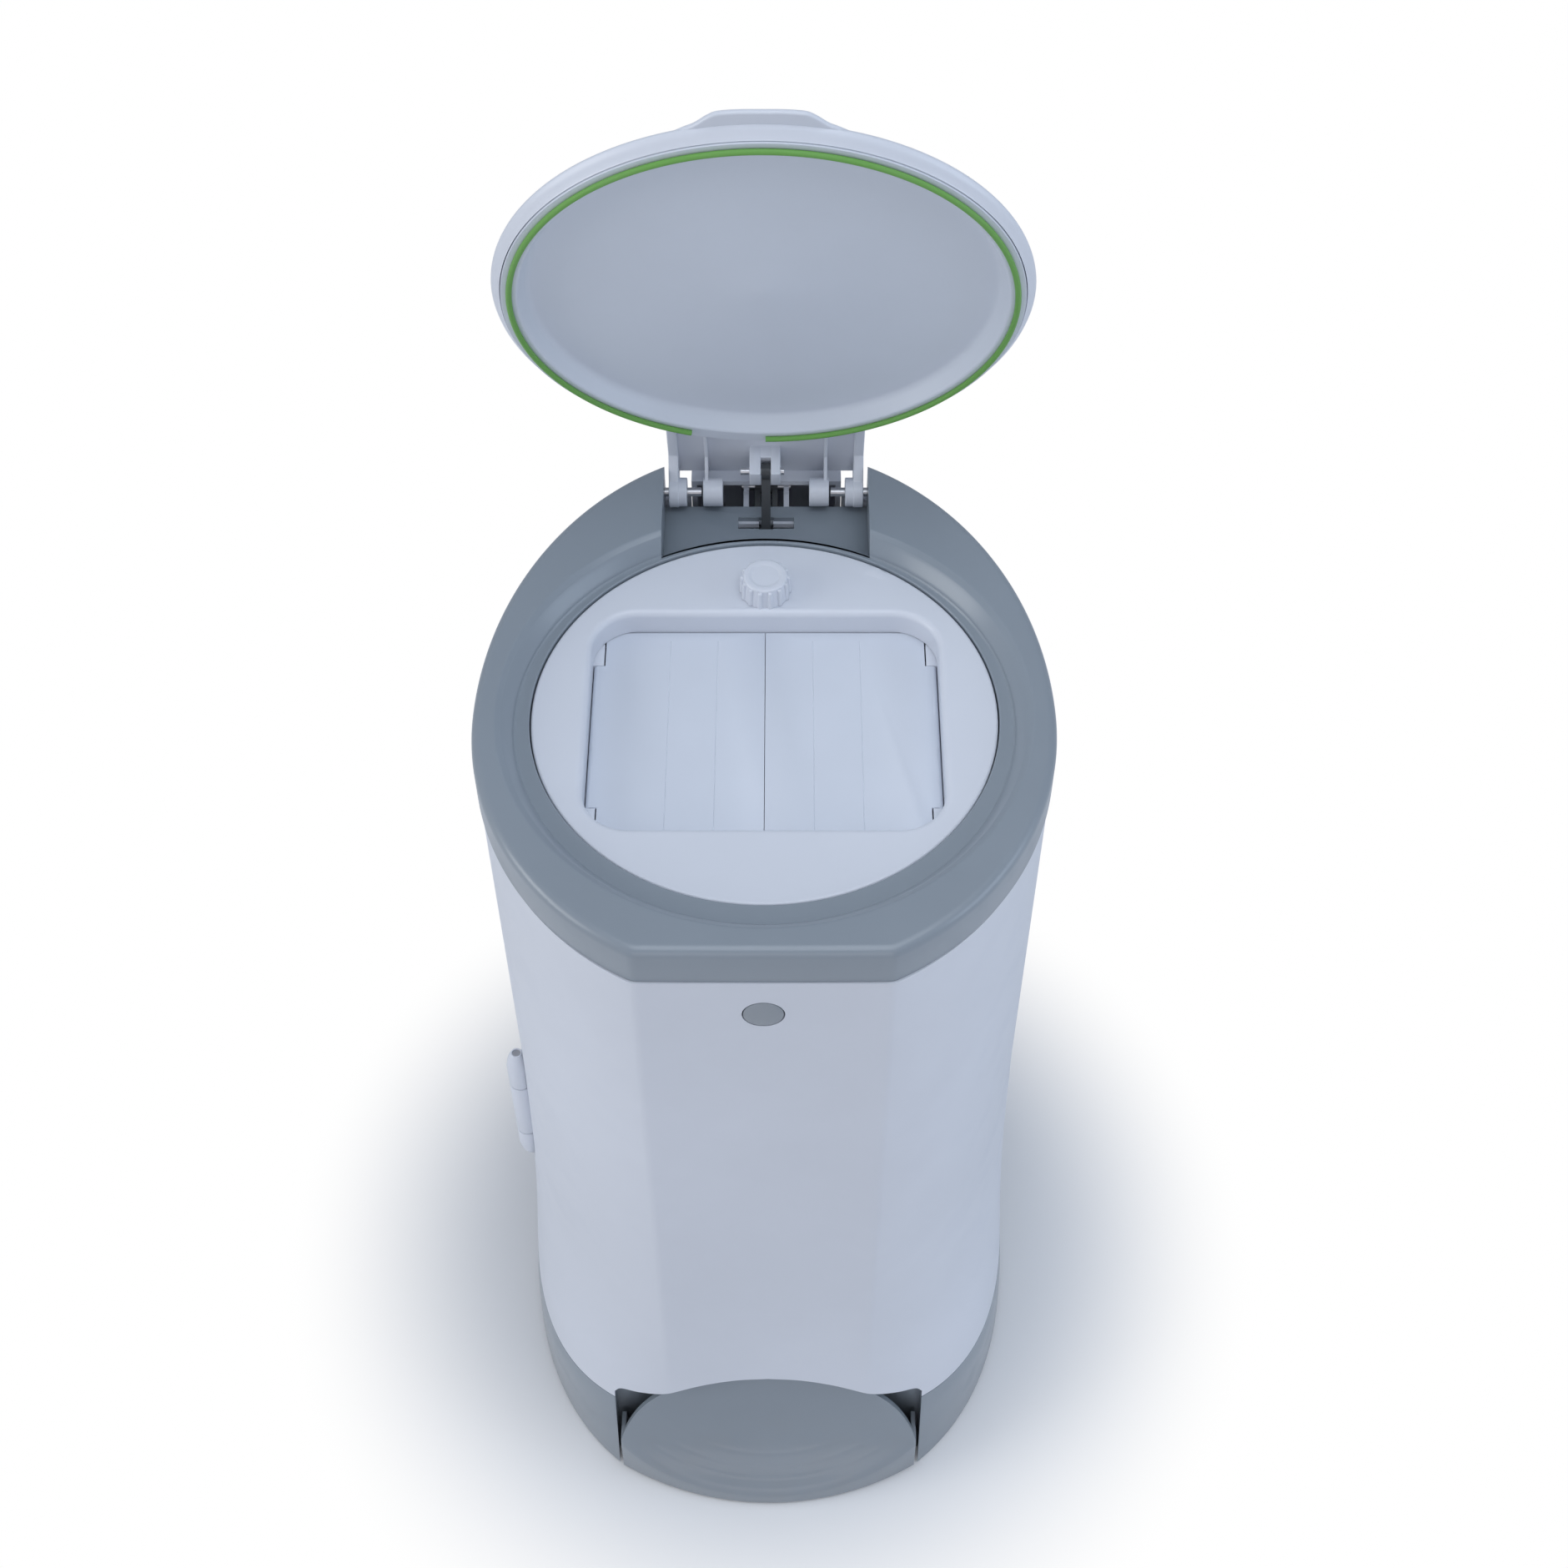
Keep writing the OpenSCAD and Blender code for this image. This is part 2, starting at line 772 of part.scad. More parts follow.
module well_cut() {
    top_r = well_d / 2;
    floor_r = well_floor_d / 2;
    drop = collar_top_z - well_floor_z;
    wall_share = [[0, 0], [0.06, 0.18], [0.25, 0.4], [0.6, 0.72], [1, 1]];
    translate([0, -well_shift, well_floor_z])
        rotate_extrude($fn = 180)
            polygon(concat(
                [[0, 0]],
                [for (s = wall_share) [floor_r + (top_r - floor_r) * s[0], drop * s[1]]],
                [[top_r, drop + overrun], [0, drop + overrun]]));
}

module collar_bores() {
    bore_d = plate_d + 2 * bore_gap;
    ledge_d = plate_d - 2 * ledge_w;
    floor_z = collar_bottom_z + ledge_t;
    translate([0, 0, deck_z - deck_t - overrun])
        cylinder(d = ledge_d, h = far, $fn = 180);
    translate([0, 0, floor_z])
        cylinder(d = bore_d, h = far, $fn = 180);
    slab([-pocket_w / 2, pocket_w / 2], [plate_d / 2 - pocket_d, plate_d / 2 + pocket_d],
         [cam_low_z - seat_gap, cam_low_z + cam_t + seat_gap]);
}
module notch_cut() {
    difference() {
        slab([-notch_w / 2, notch_w / 2], [plate_d / 4, far], [deck_z, collar_top_z + overrun]);
        translate([0, -well_shift, 0])
            cylinder(d = well_floor_d - 2 * overrun, h = far * 2, $fn = 180);
    }
}

module hinge_deck() {
    slab([-notch_w / 2 - deck_side, notch_w / 2 + deck_side], [deck_front_y, deck_back_y],
         [deck_z - deck_t, deck_z]);
    for (side = [-1, 1])
        slab([min(side * notch_w / 2, side * (notch_w / 2 + deck_side)),
              max(side * notch_w / 2, side * (notch_w / 2 + deck_side))],
             [deck_front_y, deck_back_y], [deck_z - deck_t, collar_bottom_z + overrun]);
    intersection() {
        translate([0, -well_shift, deck_z - deck_t])
            cylinder(d = well_floor_d - overrun, h = well_floor_z - deck_z + deck_t - seat_gap, $fn = 180);
        slab([-notch_w / 2 - deck_side, notch_w / 2 + deck_side], [deck_front_y, far], [0, far * 2]);
    }
}

module link_slot(low, high) {
    slab([-slot_bar_w / 2, slot_bar_w / 2],
         [slot_y - slot_bar_d / 2, slot_y + slot_bar_d / 2], [low, high]);
    slab([-slot_stem_w / 2, slot_stem_w / 2],
         [slot_y - slot_stem_d / 2, slot_y + slot_stem_d / 2], [low, high]);
}

module bracket_screw_places() {
    for (x = [-bracket_screw_x, bracket_screw_x])
        translate([x, bracket_screw_y, deck_z - deck_t - ear_t])
            mirror([0, 0, 1])
                children();
}

module collar() {
    color(grey)
        difference() {
            union() {
                difference() {
                    collar_solid();
                    well_cut();
                    notch_cut();
                }
                hinge_deck();
            }
            collar_bores();
            link_slot(deck_z - deck_t - overrun, deck_z + overrun);
            at_pivot([hinge_y, hinge_z])
                rod_x(hinge_pin_d + 2 * fix_gap, -notch_w / 2 - horn_grip, notch_w / 2 + horn_grip);
            bracket_screw_places()
                translate([0, 0, -bracket_screw_len])
                    cylinder(d = screw_d + 2 * fix_gap, h = bracket_screw_len);
        }
}

module hinge_pin(side) {
    color(steel)
        at_pivot([hinge_y, hinge_z])
            rod_x(hinge_pin_d,
                  side > 0 ? pin_inner_x : -notch_w / 2 - horn_grip,
                  side > 0 ? notch_w / 2 + horn_grip : -pin_inner_x);
}

module hinge_pin_left() {
    hinge_pin(-1);
}

module hinge_pin_right() {
    hinge_pin(1);
}

module hinge_bracket() {
    top = deck_z - deck_t;
    color(steel)
        difference() {
            union() {
                slab([-bracket_w / 2, bracket_w / 2], [bracket_front_y, deck_back_y], [top - ear_t, top]);
                for (side = [-1, 1])
                    side_plate(side > 0 ? ear_x : -ear_x - ear_t, side > 0 ? ear_x + ear_t : -ear_x) {
                        polygon([
                            [ear_front_y, top], [ear_front_y, top - ear_low / 2],
                            [deck_back_y, top - ear_low], [rocker_at[0], rocker_at[1] - ear_low],
                            [rocker_at[0] + ear_round_r, rocker_at[1]],
                            [rocker_at[0] - ear_low / 2, rocker_at[1]],
                            [deck_back_y + seat_gap, top]]);
                        translate(rocker_at)
                            circle(ear_round_r);
                    }
            }
            link_slot(top - ear_t - overrun, top + overrun);
            at_pivot(rocker_at)
                rod_x(rocker_pin_d + 2 * fix_gap, -far, far);
            bracket_screw_places()
                translate([0, 0, -ear_t - overrun])
                    cylinder(d = screw_d + 2 * fix_gap, h = ear_t + 2 * overrun);
        }
}

module bracket_screws() {
    color(steel)
        bracket_screw_places()
            screw(bracket_screw_len);
}

module rocker_pin() {
    color(steel)
        at_pivot(rocker_at)
            rod_x(rocker_pin_d, -ear_x - ear_t - overrun, ear_x + ear_t + overrun);
}

module latch_keeper() {
    color(steel)
        slab([-keeper_w / 2, keeper_w / 2], [keeper_y + seat_gap * 2, keeper_y + seat_gap * 2 + keeper_t],
             [collar_bottom_z - keeper_h, collar_bottom_z]);
}

module bag_ring() {
    flange_d = plate_d - 2 * bore_gap;
    tube_d = plate_d - 2 * ledge_w - 2 * move_gap;
    color(grey)
        difference() {
            union() {
                translate([0, 0, bag_flange_z])
                    cylinder(d = flange_d, h = bag_flange_t, $fn = 180);
                translate([0, 0, bag_flange_z - bag_ring_h])
                    cylinder(d = tube_d, h = bag_ring_h, $fn = 180);
            }
            translate([0, 0, bag_flange_z - bag_ring_h - overrun])
                cylinder(d = tube_d - 2 * bag_ring_t, h = bag_ring_h * 2, $fn = 180);
        }
}

// Base
module arch_cut() {
    curve = [for (s = arch_share) [s[0] * arch_w / 2, arch_side_z + s[1] * (arch_z - arch_side_z)]];
    last = len(curve) - 1;
    rotate([90, 0, 0])
        linear_extrude(far)
            polygon(concat([[arch_w / 2, -overrun]], curve,
                           [for (i = [last - 1:-1:0]) [-curve[i][0], curve[i][1]]],
                           [[-arch_w / 2, -overrun]]));
}

module toe_wall() {
    low = plate_floor_z + base_plate_t;
    half = arch_w / 2 + wall / 2;
    difference() {
        slab([-half, half], [-toe_wall_y - wall, -toe_wall_y], [low, arch_z + toe_wall_rise]);
        slab([-toe_slot_w / 2, toe_slot_w / 2], [-far, 0], [0, toe_slot_z]);
    }
}

module base_cheeks() {
    low = plate_floor_z + base_plate_t;
    for (from = [arch_w / 2, -arch_w / 2 - wall])
        slab([from, from + wall], [-base_front, -base_front + cheek_depth], [low, arch_z]);
}

module base() {
    color(grey)
        union() {
            difference() {
                union() {
                    difference() {
                        body_skin();
                        arch_cut();
                    }
                    intersection() {
                        base_cheeks();
                        body_solid(wall / 2, 0);
                    }
                }
                above_seam(0);
                door_relief();
                slab([-far, far], [-far, far], [-far, rim_gap]);
            }
            toe_wall();
        }
}

function plate_outline() =
    outline(base_w / 2 - wall - overrun, base_front - wall * 3, base_back - wall - overrun,
            facet_w / 2 - wall, 2 + corner_power / 2 * flare_corner_share[0], base_bow);

module base_plate() {
    color(dark_grey)
        difference() {
            translate([0, 0, plate_floor_z])
                linear_extrude(base_plate_t)
                    polygon(plate_outline());
            for (p = post_places, side = [-1, 1])
                translate([side * p[0], p[1], 0])
                    cylinder(d = screw_d + 2 * fix_gap, h = far);
        }
}

module base_posts() {
    bottom = plate_floor_z + base_plate_t;
    color(grey)
        for (p = post_places, side = [-1, 1])
            translate([side * p[0], p[1], bottom])
                tube(2 * post_r, screw_d + 2 * fix_gap, chamber_floor_z - bottom);
}

module base_screws() {
    color(steel)
        for (p = post_places, side = [-1, 1])
            translate([side * p[0], p[1], 0]) {
                translate([0, 0, plate_floor_z])
                    mirror([0, 0, 1])
                        screw(base_screw_len);
                translate([0, 0, chamber_floor_z + wall])
                    screw(base_screw_len);
            }
}

module rubber_feet() {
    color(rubber)
        for (p = foot_places, side = [-1, 1])
            translate([side * p[0], p[1], 0])
                cylinder(d = foot_d, h = plate_floor_z);
}

module bearing(side) {
    low = plate_floor_z + base_plate_t;
    from = side > 0 ? bearing_x : -bearing_x - bearing_t;
    color(dark_grey)
        difference() {
            union() {
                slab([from, from + bearing_t],
                     [-axle_y - bearing_w / 2, -axle_y + bearing_w / 2], [low, axle_z]);
                at_pivot(axle_at)
                    rod_x(bearing_w, from, from + bearing_t);
            }
            at_pivot(axle_at)
                rod_x(axle_d + 2 * run_gap, from - overrun, from + bearing_t + overrun);
        }
}

module bearing_left() {
    bearing(-1);
}

module bearing_right() {
    bearing(1);
}

// Trap plate
module plate_recess_walls() {
    low = flap_axis_z - flap_barrel_r - flap_pin_d;
    translate([0, 0, low])
        linear_extrude(plate_z - plate_t - low + overrun)
            rounded_rect(recess_w / 2 + recess_wall, recess_front + recess_wall,
                         recess_back + recess_wall, recess_r + recess_wall);
}

module recess_cut() {
    low = flap_axis_z - flap_barrel_r - flap_pin_d;
    floor_z = flap_top_z + seat_gap;
    translate([0, 0, floor_z])
        linear_extrude(far)
            rounded_rect(recess_w / 2, recess_front, recess_back, recess_r);
    translate([0, 0, low - overrun])
        linear_extrude(far)
            rounded_rect(recess_w / 2 - side_lip, recess_front - recess_lip,
                         recess_back - recess_lip, recess_r - recess_lip);
    translate([0, 0, low - overrun])
        linear_extrude(floor_z - low + overrun)
            rounded_rect(recess_w / 2, recess_front, recess_back, recess_r / 6);
}

// Lugs in the recess's corners that hold the ends of the flap pins
module flap_lugs() {
    for (side = [-1, 1], y = [[flap_lug_front - flap_lug_len, flap_lug_front],
                              [flap_lug_back, flap_lug_back + flap_lug_len]]) {
        inner = side * (flap_axis_x - flap_lug_r + flap_lug_inset);
        outer = side * (recess_w / 2 + overrun);
        translate([side * flap_axis_x, 0, flap_axis_z])
            rod_y(2 * flap_lug_r, y[0], y[1]);
        slab([min(inner, outer), max(inner, outer)], y, [flap_axis_z - flap_lug_r / 3, flap_top_z]);
    }
}

module plate_edge_round() {
    steps = 4;
    for (i = [0:steps - 1])
        let (a = 90 * (i + 0.5) / steps, out = lip_round * (1 - sin(a)) , down = lip_round * (1 - cos(a)))
        translate([0, 0, plate_z - down])
            linear_extrude(lip_round)
                rounded_rect(recess_w / 2 + out, recess_front + out, recess_back + out, recess_r + out);
}

module trap_plate() {
    color(white)
        difference() {
            union() {
                difference() {
                    union() {
                        translate([0, 0, plate_z - plate_t])
                            cylinder(d = plate_d, h = plate_t, $fn = 180);
                        translate([0, 0, skirt_low_z])
                            tube(plate_d, plate_d - 2 * plate_skirt,
                                 plate_z - plate_t - skirt_low_z + overrun, $fn = 180);
                        plate_recess_walls();
                    }
                    recess_cut();
                    plate_edge_round();
                }
                flap_lugs();
            }
            translate([0, knob_y, plate_z - dimple_depth + dimple_ball_r])
                sphere(dimple_ball_r);
            translate([0, knob_y, plate_z - far / 2])
                cylinder(d = knob_shaft_d + 2 * run_gap, h = far);
            slab([-pocket_w / 2, pocket_w / 2], [plate_d / 2 - pocket_w / 2, plate_d],
                 [skirt_low_z - overrun, plate_z - plate_t]);
            for (side = [-1, 1])
                translate([side * flap_axis_x, 0, flap_axis_z])
                    rod_y(flap_pin_d + 2 * fix_gap, flap_pin_front, flap_pin_back);
        }
}

module trap_flap(side) {
    edge_x = flap_split / 2;
    outer_x = flap_axis_x - flap_lug_r - flap_side_gap;
    width = flap_axis_x - edge_x;
    front = -recess_front + flap_side_gap;
    back = recess_back - flap_side_gap;
    barrel_front = flap_lug_front + seat_gap;
    barrel_back = flap_lug_back - seat_gap;
    color(white)
        difference() {
            union() {
                slab([min(side * edge_x, side * outer_x), max(side * edge_x, side * outer_x)],
                     [front, back], [flap_top_z - flap_t, flap_top_z]);
                slab([min(side * edge_x, side * flap_axis_x), max(side * edge_x, side * flap_axis_x)],
                     [barrel_front, barrel_back], [flap_top_z - flap_t, flap_top_z]);
                translate([side * flap_axis_x, 0, flap_axis_z])
                    rod_y(2 * flap_barrel_r, barrel_front, barrel_back);
                slab([min(side * edge_x, side * (edge_x + flap_rib_t)),
                      max(side * edge_x, side * (edge_x + flap_rib_t))],
                     [front + flap_rib_inset, back - flap_rib_inset],
                     [flap_top_z - flap_t - flap_rib_h, flap_top_z]);
            }
            for (s = flap_score_x_share)
                slab([side * (edge_x + s * width) - flap_score_w / 2,
                      side * (edge_x + s * width) + flap_score_w / 2],
                     [front + flap_rib_inset, back - flap_rib_inset],
                     [flap_top_z - flap_score_d, flap_top_z + overrun]);
            translate([side * flap_axis_x, 0, flap_axis_z])
                rod_y(flap_pin_d + 2 * run_gap, barrel_front - overrun, barrel_back + overrun);
            slab([side * flap_axis_x - flap_barrel_r - overrun,
                  side * flap_axis_x + flap_barrel_r + overrun],
                 [-flap_spring_len / 2, flap_spring_len / 2],
                 [flap_axis_z - flap_barrel_r - overrun, flap_top_z - flap_skin]);
            flap_corner_cuts(side, front, back);
        }
}

// Rounds the flap's outer corners to the recess's corner radius
module flap_corner_cuts(side, front, back) {
    r = recess_r - recess_lip;
    x = recess_w / 2 - side_lip - r;
    for (end = [0, 1])
        let (edge = end == 0 ? front : back, inward = end == 0 ? 1 : -1)
        translate([side * x, edge + inward * r, 0])
            difference() {
                slab([side > 0 ? 0 : -far, side > 0 ? far : 0],
                     [end == 0 ? -far : 0, end == 0 ? 0 : far], [0, far * 2]);
                translate([0, 0, -overrun])
                    cylinder(r = r + side_lip + overrun * 3, h = far * 3);
            }
}

module trap_flap_left() {
    trap_flap(-1);
}

module trap_flap_right() {
    trap_flap(1);
}

module trap_pin(side) {
    color(steel)
        translate([side * flap_axis_x, 0, flap_axis_z])
            rod_y(flap_pin_d, flap_pin_front, flap_pin_back);
}

module trap_pin_left() {
    trap_pin(-1);
}

module trap_pin_right() {
    trap_pin(1);
}

module trap_spring(side) {
    length = flap_spring_len - 2 * move_gap;
    color(steel)
        translate([side * flap_axis_x, length / 2, flap_axis_z])
            rotate([90, 0, 0])
                tube(2 * (flap_barrel_r - flap_skin - run_gap), flap_pin_d + 4 * run_gap, length);
}

module trap_spring_left() {
    trap_spring(-1);
}

module trap_spring_right() {
    trap_spring(1);
}

module knob() {
    foot_z = plate_z - dimple_depth * (1 - pow(knob_d / 2 / dimple_r, 2)) + seat_gap;
    height = plate_z + knob_h - foot_z;
    color(white)
        translate([0, knob_y, foot_z]) {
            difference() {
                cylinder(d1 = knob_d, d2 = knob_top_d, h = height);
                for (i = [0:knob_grooves - 1])
                    rotate([0, 0, 360 * i / knob_grooves])
                        translate([knob_d / 2 + knob_groove_r / 3, 0, -overrun])
                            cylinder(r = knob_groove_r, h = height + 2 * overrun, $fn = 24);
            }
            difference() {
                translate([0, 0, cam_low_z + cam_t - foot_z])
                    cylinder(d = knob_shaft_d, h = foot_z - cam_low_z - cam_t + overrun);
                translate([0, 0, cam_low_z - foot_z])
                    cylinder(d = small_screw_d + 2 * fix_gap, h = knob_screw_len + seat_gap);
            }
        }
}

module knob_cam() {
    color(dark_grey)
        translate([0, knob_y, cam_low_z])
            difference() {
                union() {
                    cylinder(d = knob_shaft_d + 2 * wall, h = cam_t);
                    slab([-cam_w / 2, cam_w / 2], [0, cam_reach], [0, cam_t]);
                }
                translate([0, 0, -overrun])
                    cylinder(d = small_screw_d + 2 * fix_gap, h = cam_t + 2 * overrun);
            }
}

module knob_screw() {
    color(steel)
        translate([0, knob_y, cam_low_z - screw_head_h]) {
            cylinder(d = screw_head_d, h = screw_head_h);
            cylinder(d = small_screw_d, h = screw_head_h + knob_screw_len);
        }
}

// Lid, drawn shut and swung open about its hinge
module swung_open() {
    at_pivot([hinge_y, hinge_z])
        rotate([-lid_swing, 0, 0])
            translate([0, -hinge_y, -hinge_z])
                children();
}

function dome_line(r, z_shift) =
    let (edge = lid_d / 2 - rim_round,
         ball = (edge * edge + dome_h * dome_h) / (2 * dome_h))
    rim_z + rim_round + dome_h - ball + sqrt(ball * ball - r * r) + z_shift;

module lid_profile() {
    edge = lid_d / 2 - rim_round;
    steps = 14;
    outer = [for (i = [0:steps]) let (x = edge * i / steps) [x, dome_line(x, 0)]];
    rim = [for (a = [60, 30]) [edge + rim_round * cos(a), rim_z + rim_round * sin(a)]];
    foot = [for (s = rim_share) [lid_d / 2 - rim_wall * s[0], rim_z - (rim_z - flange_z) * s[1]]];
    polygon(concat(outer, rim, foot,
                   [[lid_d / 2 - rim_wall - overrun, flange_z + rim_over], [0, flange_z]]));
}

module lid_cavity() {
    inner = lid_d / 2 - rim_wall;
    steps = 14;
    under = [for (i = [steps:-1:0])
        let (x = (inner - lid_wall) * i / steps)
        [x, dome_line(x, -lid_wall)]];
    polygon(concat([[0, -far], [inner, -far], [inner, rim_z + rim_round - lid_wall]], under));
}

module lid_tab() {
    low = collar_top_z + overrun;
    reach = lid_d / 2 + tab_reach;
    root = lid_d / 2 - rim_wall - tab_root / 4;
    tab_share = [[1, 0], [0.86, 0.24], [0.70, 0.66], [0.56, 0.90], [0.30, 0.99], [0, 1]];
    half = tab_root / 2;
    chord = sqrt(lid_d * lid_d / 4 - half * half);
    right = [for (s = tab_share) [half * s[0], -chord - (reach - chord) * s[1]]];
    left = [for (i = [len(right) - 2:-1:0]) [-right[i][0], right[i][1]]];
    translate([0, -well_shift, low])
        linear_extrude(tab_t)
            polygon(concat([[-half, -root], [half, -root]], right, left));
}

module lid_apron() {
    top = hinge_z + boss_r + cheek_rise + apron_t;
    clevis_shut = shut_offset(clevis_offset);
    lug_at = [hinge_y + clevis_shut[0], hinge_z + clevis_shut[1]];
    back = hinge_y + apron_tail;
    slab([-apron_w / 2, apron_w / 2], [lid_d / 3, back], [top - apron_t, top]);
    for (side = [-1, 1]) {
        side_plate(side > 0 ? apron_w / 2 - cheek_t : -apron_w / 2,
                   side > 0 ? apron_w / 2 : -apron_w / 2 + cheek_t) {
            polygon([[lid_d / 3, top], [back, top], [hinge_y + boss_r * 0.8, hinge_z],
                     [hinge_y - boss_r * 0.8, hinge_z], [hinge_y - boss_r * 2.2, top - apron_t * 2],
                     [lid_d / 3, top - apron_t * 2]]);
            translate([hinge_y, hinge_z])
                circle(boss_r);
        }
        at_pivot([hinge_y, hinge_z]) {
            rod_x(2 * block_r, side > 0 ? boss_x : -boss_x - boss_t, side > 0 ? boss_x + boss_t : -boss_x);
            rod_x(2 * block_r, side > 0 ? block_x : -block_x - block_t,
                  side > 0 ? block_x + block_t : -block_x);
        }
        side_plate(side > 0 ? rib_x : -rib_x - rib_t, side > 0 ? rib_x + rib_t : -rib_x)
            polygon([[lid_d / 3, top - overrun / 2], [back - overrun, top - overrun / 2],
                     [hinge_y + block_r / 4, hinge_z + block_r / 2], [hinge_y - block_r / 2, hinge_z],
                     [hinge_y - boss_r * 2, top - apron_t * 2], [lid_d / 3, top - apron_t * 2]]);
    }
    slab([-lug_left, lug_right],
         [lug_at[0] - lug_front, lug_at[0] + lug_back], [lug_at[1] - lug_below, top]);
}
// Where an offset from the hinge lies when the lid is shut
function shut_offset(p) = [p[0] * cos(lid_swing) - p[1] * sin(lid_swing),
                           p[0] * sin(lid_swing) + p[1] * cos(lid_swing)];

module lid_shell() {
    clevis_shut = shut_offset(clevis_offset);
    lug_at = [hinge_y + clevis_shut[0], hinge_z + clevis_shut[1]];
    color(white)
        swung_open()
            difference() {
                union() {
                    translate([0, -well_shift, 0])
                        rotate_extrude($fn = 180)
                            lid_profile();
                    lid_apron();
                    lid_tab();
                }
                translate([0, -well_shift, 0])
                    rotate_extrude($fn = 180)
                        lid_cavity();
                at_pivot([hinge_y, hinge_z])
                    for (side = [-1, 1])
                        rod_x(hinge_pin_d + 2 * run_gap,
                              side > 0 ? boss_x - overrun : -apron_w / 2 - overrun,
                              side > 0 ? apron_w / 2 + overrun : -boss_x + overrun);
                slab([-strap_w / 2 - strap_gap, strap_w / 2 + strap_gap],
                     [lug_at[0] - lug_front - overrun, lug_at[0] + lug_back + overrun],
                     [lug_at[1] - lug_below - overrun, lug_at[1] + eye_r + move_gap]);
                at_pivot(lug_at)
                    rod_x(link_pin_d + 2 * fix_gap, -lug_left - overrun, lug_right + overrun);
            }
}

module lid_panel() {
    flange_r = lid_d / 2 - rim_wall - seat_gap;
    dish_r = seal_d / 2 - seal_w;
    low = flange_z;
    color([0.80, 0.83, 0.87])
        swung_open()
            translate([0, -well_shift, 0])
                rotate_extrude($fn = 180)
                    polygon([
                        [dish_r, low], [flange_r, low], [flange_r, low + panel_t],
                        [dish_r + panel_t, low + panel_t],
                        [dish_r - panel_t, panel_shut_z + panel_t], [0, panel_shut_z + panel_t],
                        [0, panel_shut_z], [dish_r - 2 * panel_t, panel_shut_z]]);
}

module lid_seal() {
    color(green)
        swung_open()
            translate([0, -well_shift, seal_z])
                difference() {
                    tube(seal_d + seal_w, seal_d - seal_w, seal_t, $fn = 180);
                    slab([-seal_break_w, 0], [0, seal_d], [-overrun, seal_t + overrun]);
                }
}

module clevis_pin() {
    color(steel)
        at_pivot(clevis_at)
            rod_x(link_pin_d, -clevis_left, clevis_right);
}

// Linkage
module lift_link() {
    color(dark_grey)
        difference() {
            link_plate(clevis_at, strap_end_at, strap_t, [eye_r, open_eye_r], -strap_w / 2, strap_w / 2);
            at_pivot(clevis_at)
                rod_x(link_pin_d + 2 * run_gap, -strap_w, strap_w);
            at_pivot(strap_end_at)
                rod_x(link_pin_d + 2 * open_gap, -strap_w, strap_w);
        }
}

module rocker() {
    far_x = arm_x + rocker_t;
    color(dark_grey)
        difference() {
            union() {
                for (from = [arm_x, -far_x])
                    link_plate(rocker_at, strap_end_at, rocker_bar - overrun, [0, rocker_bar / 2],
                               from, from + rocker_t);
                at_pivot(rocker_at)
                    rod_x(2 * rocker_hub_r, -far_x - seat_gap / 3, far_x + seat_gap / 3);
            }
            at_pivot(rocker_at)
                rod_x(rocker_pin_d + 2 * run_gap, -far, far);
            at_pivot(strap_end_at)
                rod_x(link_pin_d + 2 * fix_gap, -far, far);
        }
}

module rocker_end_pin() {
    color(steel)
        at_pivot(strap_end_at)
            rod_x(link_pin_d, -arm_x - rocker_t - overrun, rod_x_mid + rod_eye_t / 2 + overrun);
}

module push_rod() {
    d = strap_end_at - lever_end_at;
    from = rod_x_mid - rod_eye_t / 2;
    to = rod_x_mid + rod_eye_t / 2;
    color(steel)
        difference() {
            union() {
                at_pivot(lever_end_at)
                    rotate([-atan2(d[0], d[1]), 0, 0])
                        translate([rod_x_mid, 0, open_eye_r - overrun])
                            cylinder(d = rod_d, h = norm(d) - open_eye_r - eye_r + 2 * overrun);
                at_pivot(lever_end_at)
                    rod_x(2 * open_eye_r, from, to);
                at_pivot(strap_end_at)
                    rod_x(2 * eye_r, from, to);
            }
            at_pivot(lever_end_at)
                rod_x(link_pin_d + 2 * open_gap, -far, far);
            at_pivot(strap_end_at)
                rod_x(link_pin_d + 2 * run_gap, -far, far);
        }
}

// Pedal
function pedal_curve(shift) =
    let (reach = pedal_front_cy - pedal_front_r - pedal_back_y)
    [for (s = pedal_curve_share)
        [pedal_back_y + s[0] * reach + shift, pedal_base_z + s[1] * (pedal_top_z - pedal_base_z) - shift]];

module pedal_side() {
    curve = pedal_curve(0);
    polygon(concat(curve, [[curve[7][0], pedal_lip_z], [curve[7][0] + pedal_t, pedal_lip_z],
                           [curve[7][0] + pedal_t, pedal_floor_z], [pedal_back_y, pedal_floor_z]]));
}

module pedal_skin() {
    outer = pedal_curve(0);
    inner = pedal_curve(pedal_t);
    polygon(concat(outer,
                   [[outer[7][0], pedal_lip_z], [outer[7][0] + pedal_t, pedal_lip_z]],
                   [for (i = [7:-1:1]) inner[i]],
                   [[pedal_back_y + pedal_t, pedal_top_z]]));
}

// Front wall that follows the pedal's curved edge
module pedal_lip(half) {
    intersection() {
        side_plate(-half, half)
            polygon(concat(pedal_curve(0),
                           [[pedal_curve(0)[7][0], pedal_lip_z], [pedal_back_y, pedal_lip_z]]));
        translate([0, pedal_front_cy, 0])
            difference() {
                cylinder(r = pedal_front_r + overrun, h = far, $fn = 240);
                translate([0, 0, -overrun])
                    cylinder(r = pedal_front_r - pedal_t, h = far + 2 * overrun, $fn = 240);
            }
    }
}

// Round outline of the pedal seen from the front
module pedal_crown(half) {
    rise = arch_z - pedal_crown_drop - pedal_side_z;
    r = (half * half + rise * rise) / (2 * rise);
    translate([0, 0, arch_z - pedal_crown_drop - r])
        rod_y(2 * r, -far, 0, $fn = 240);
}

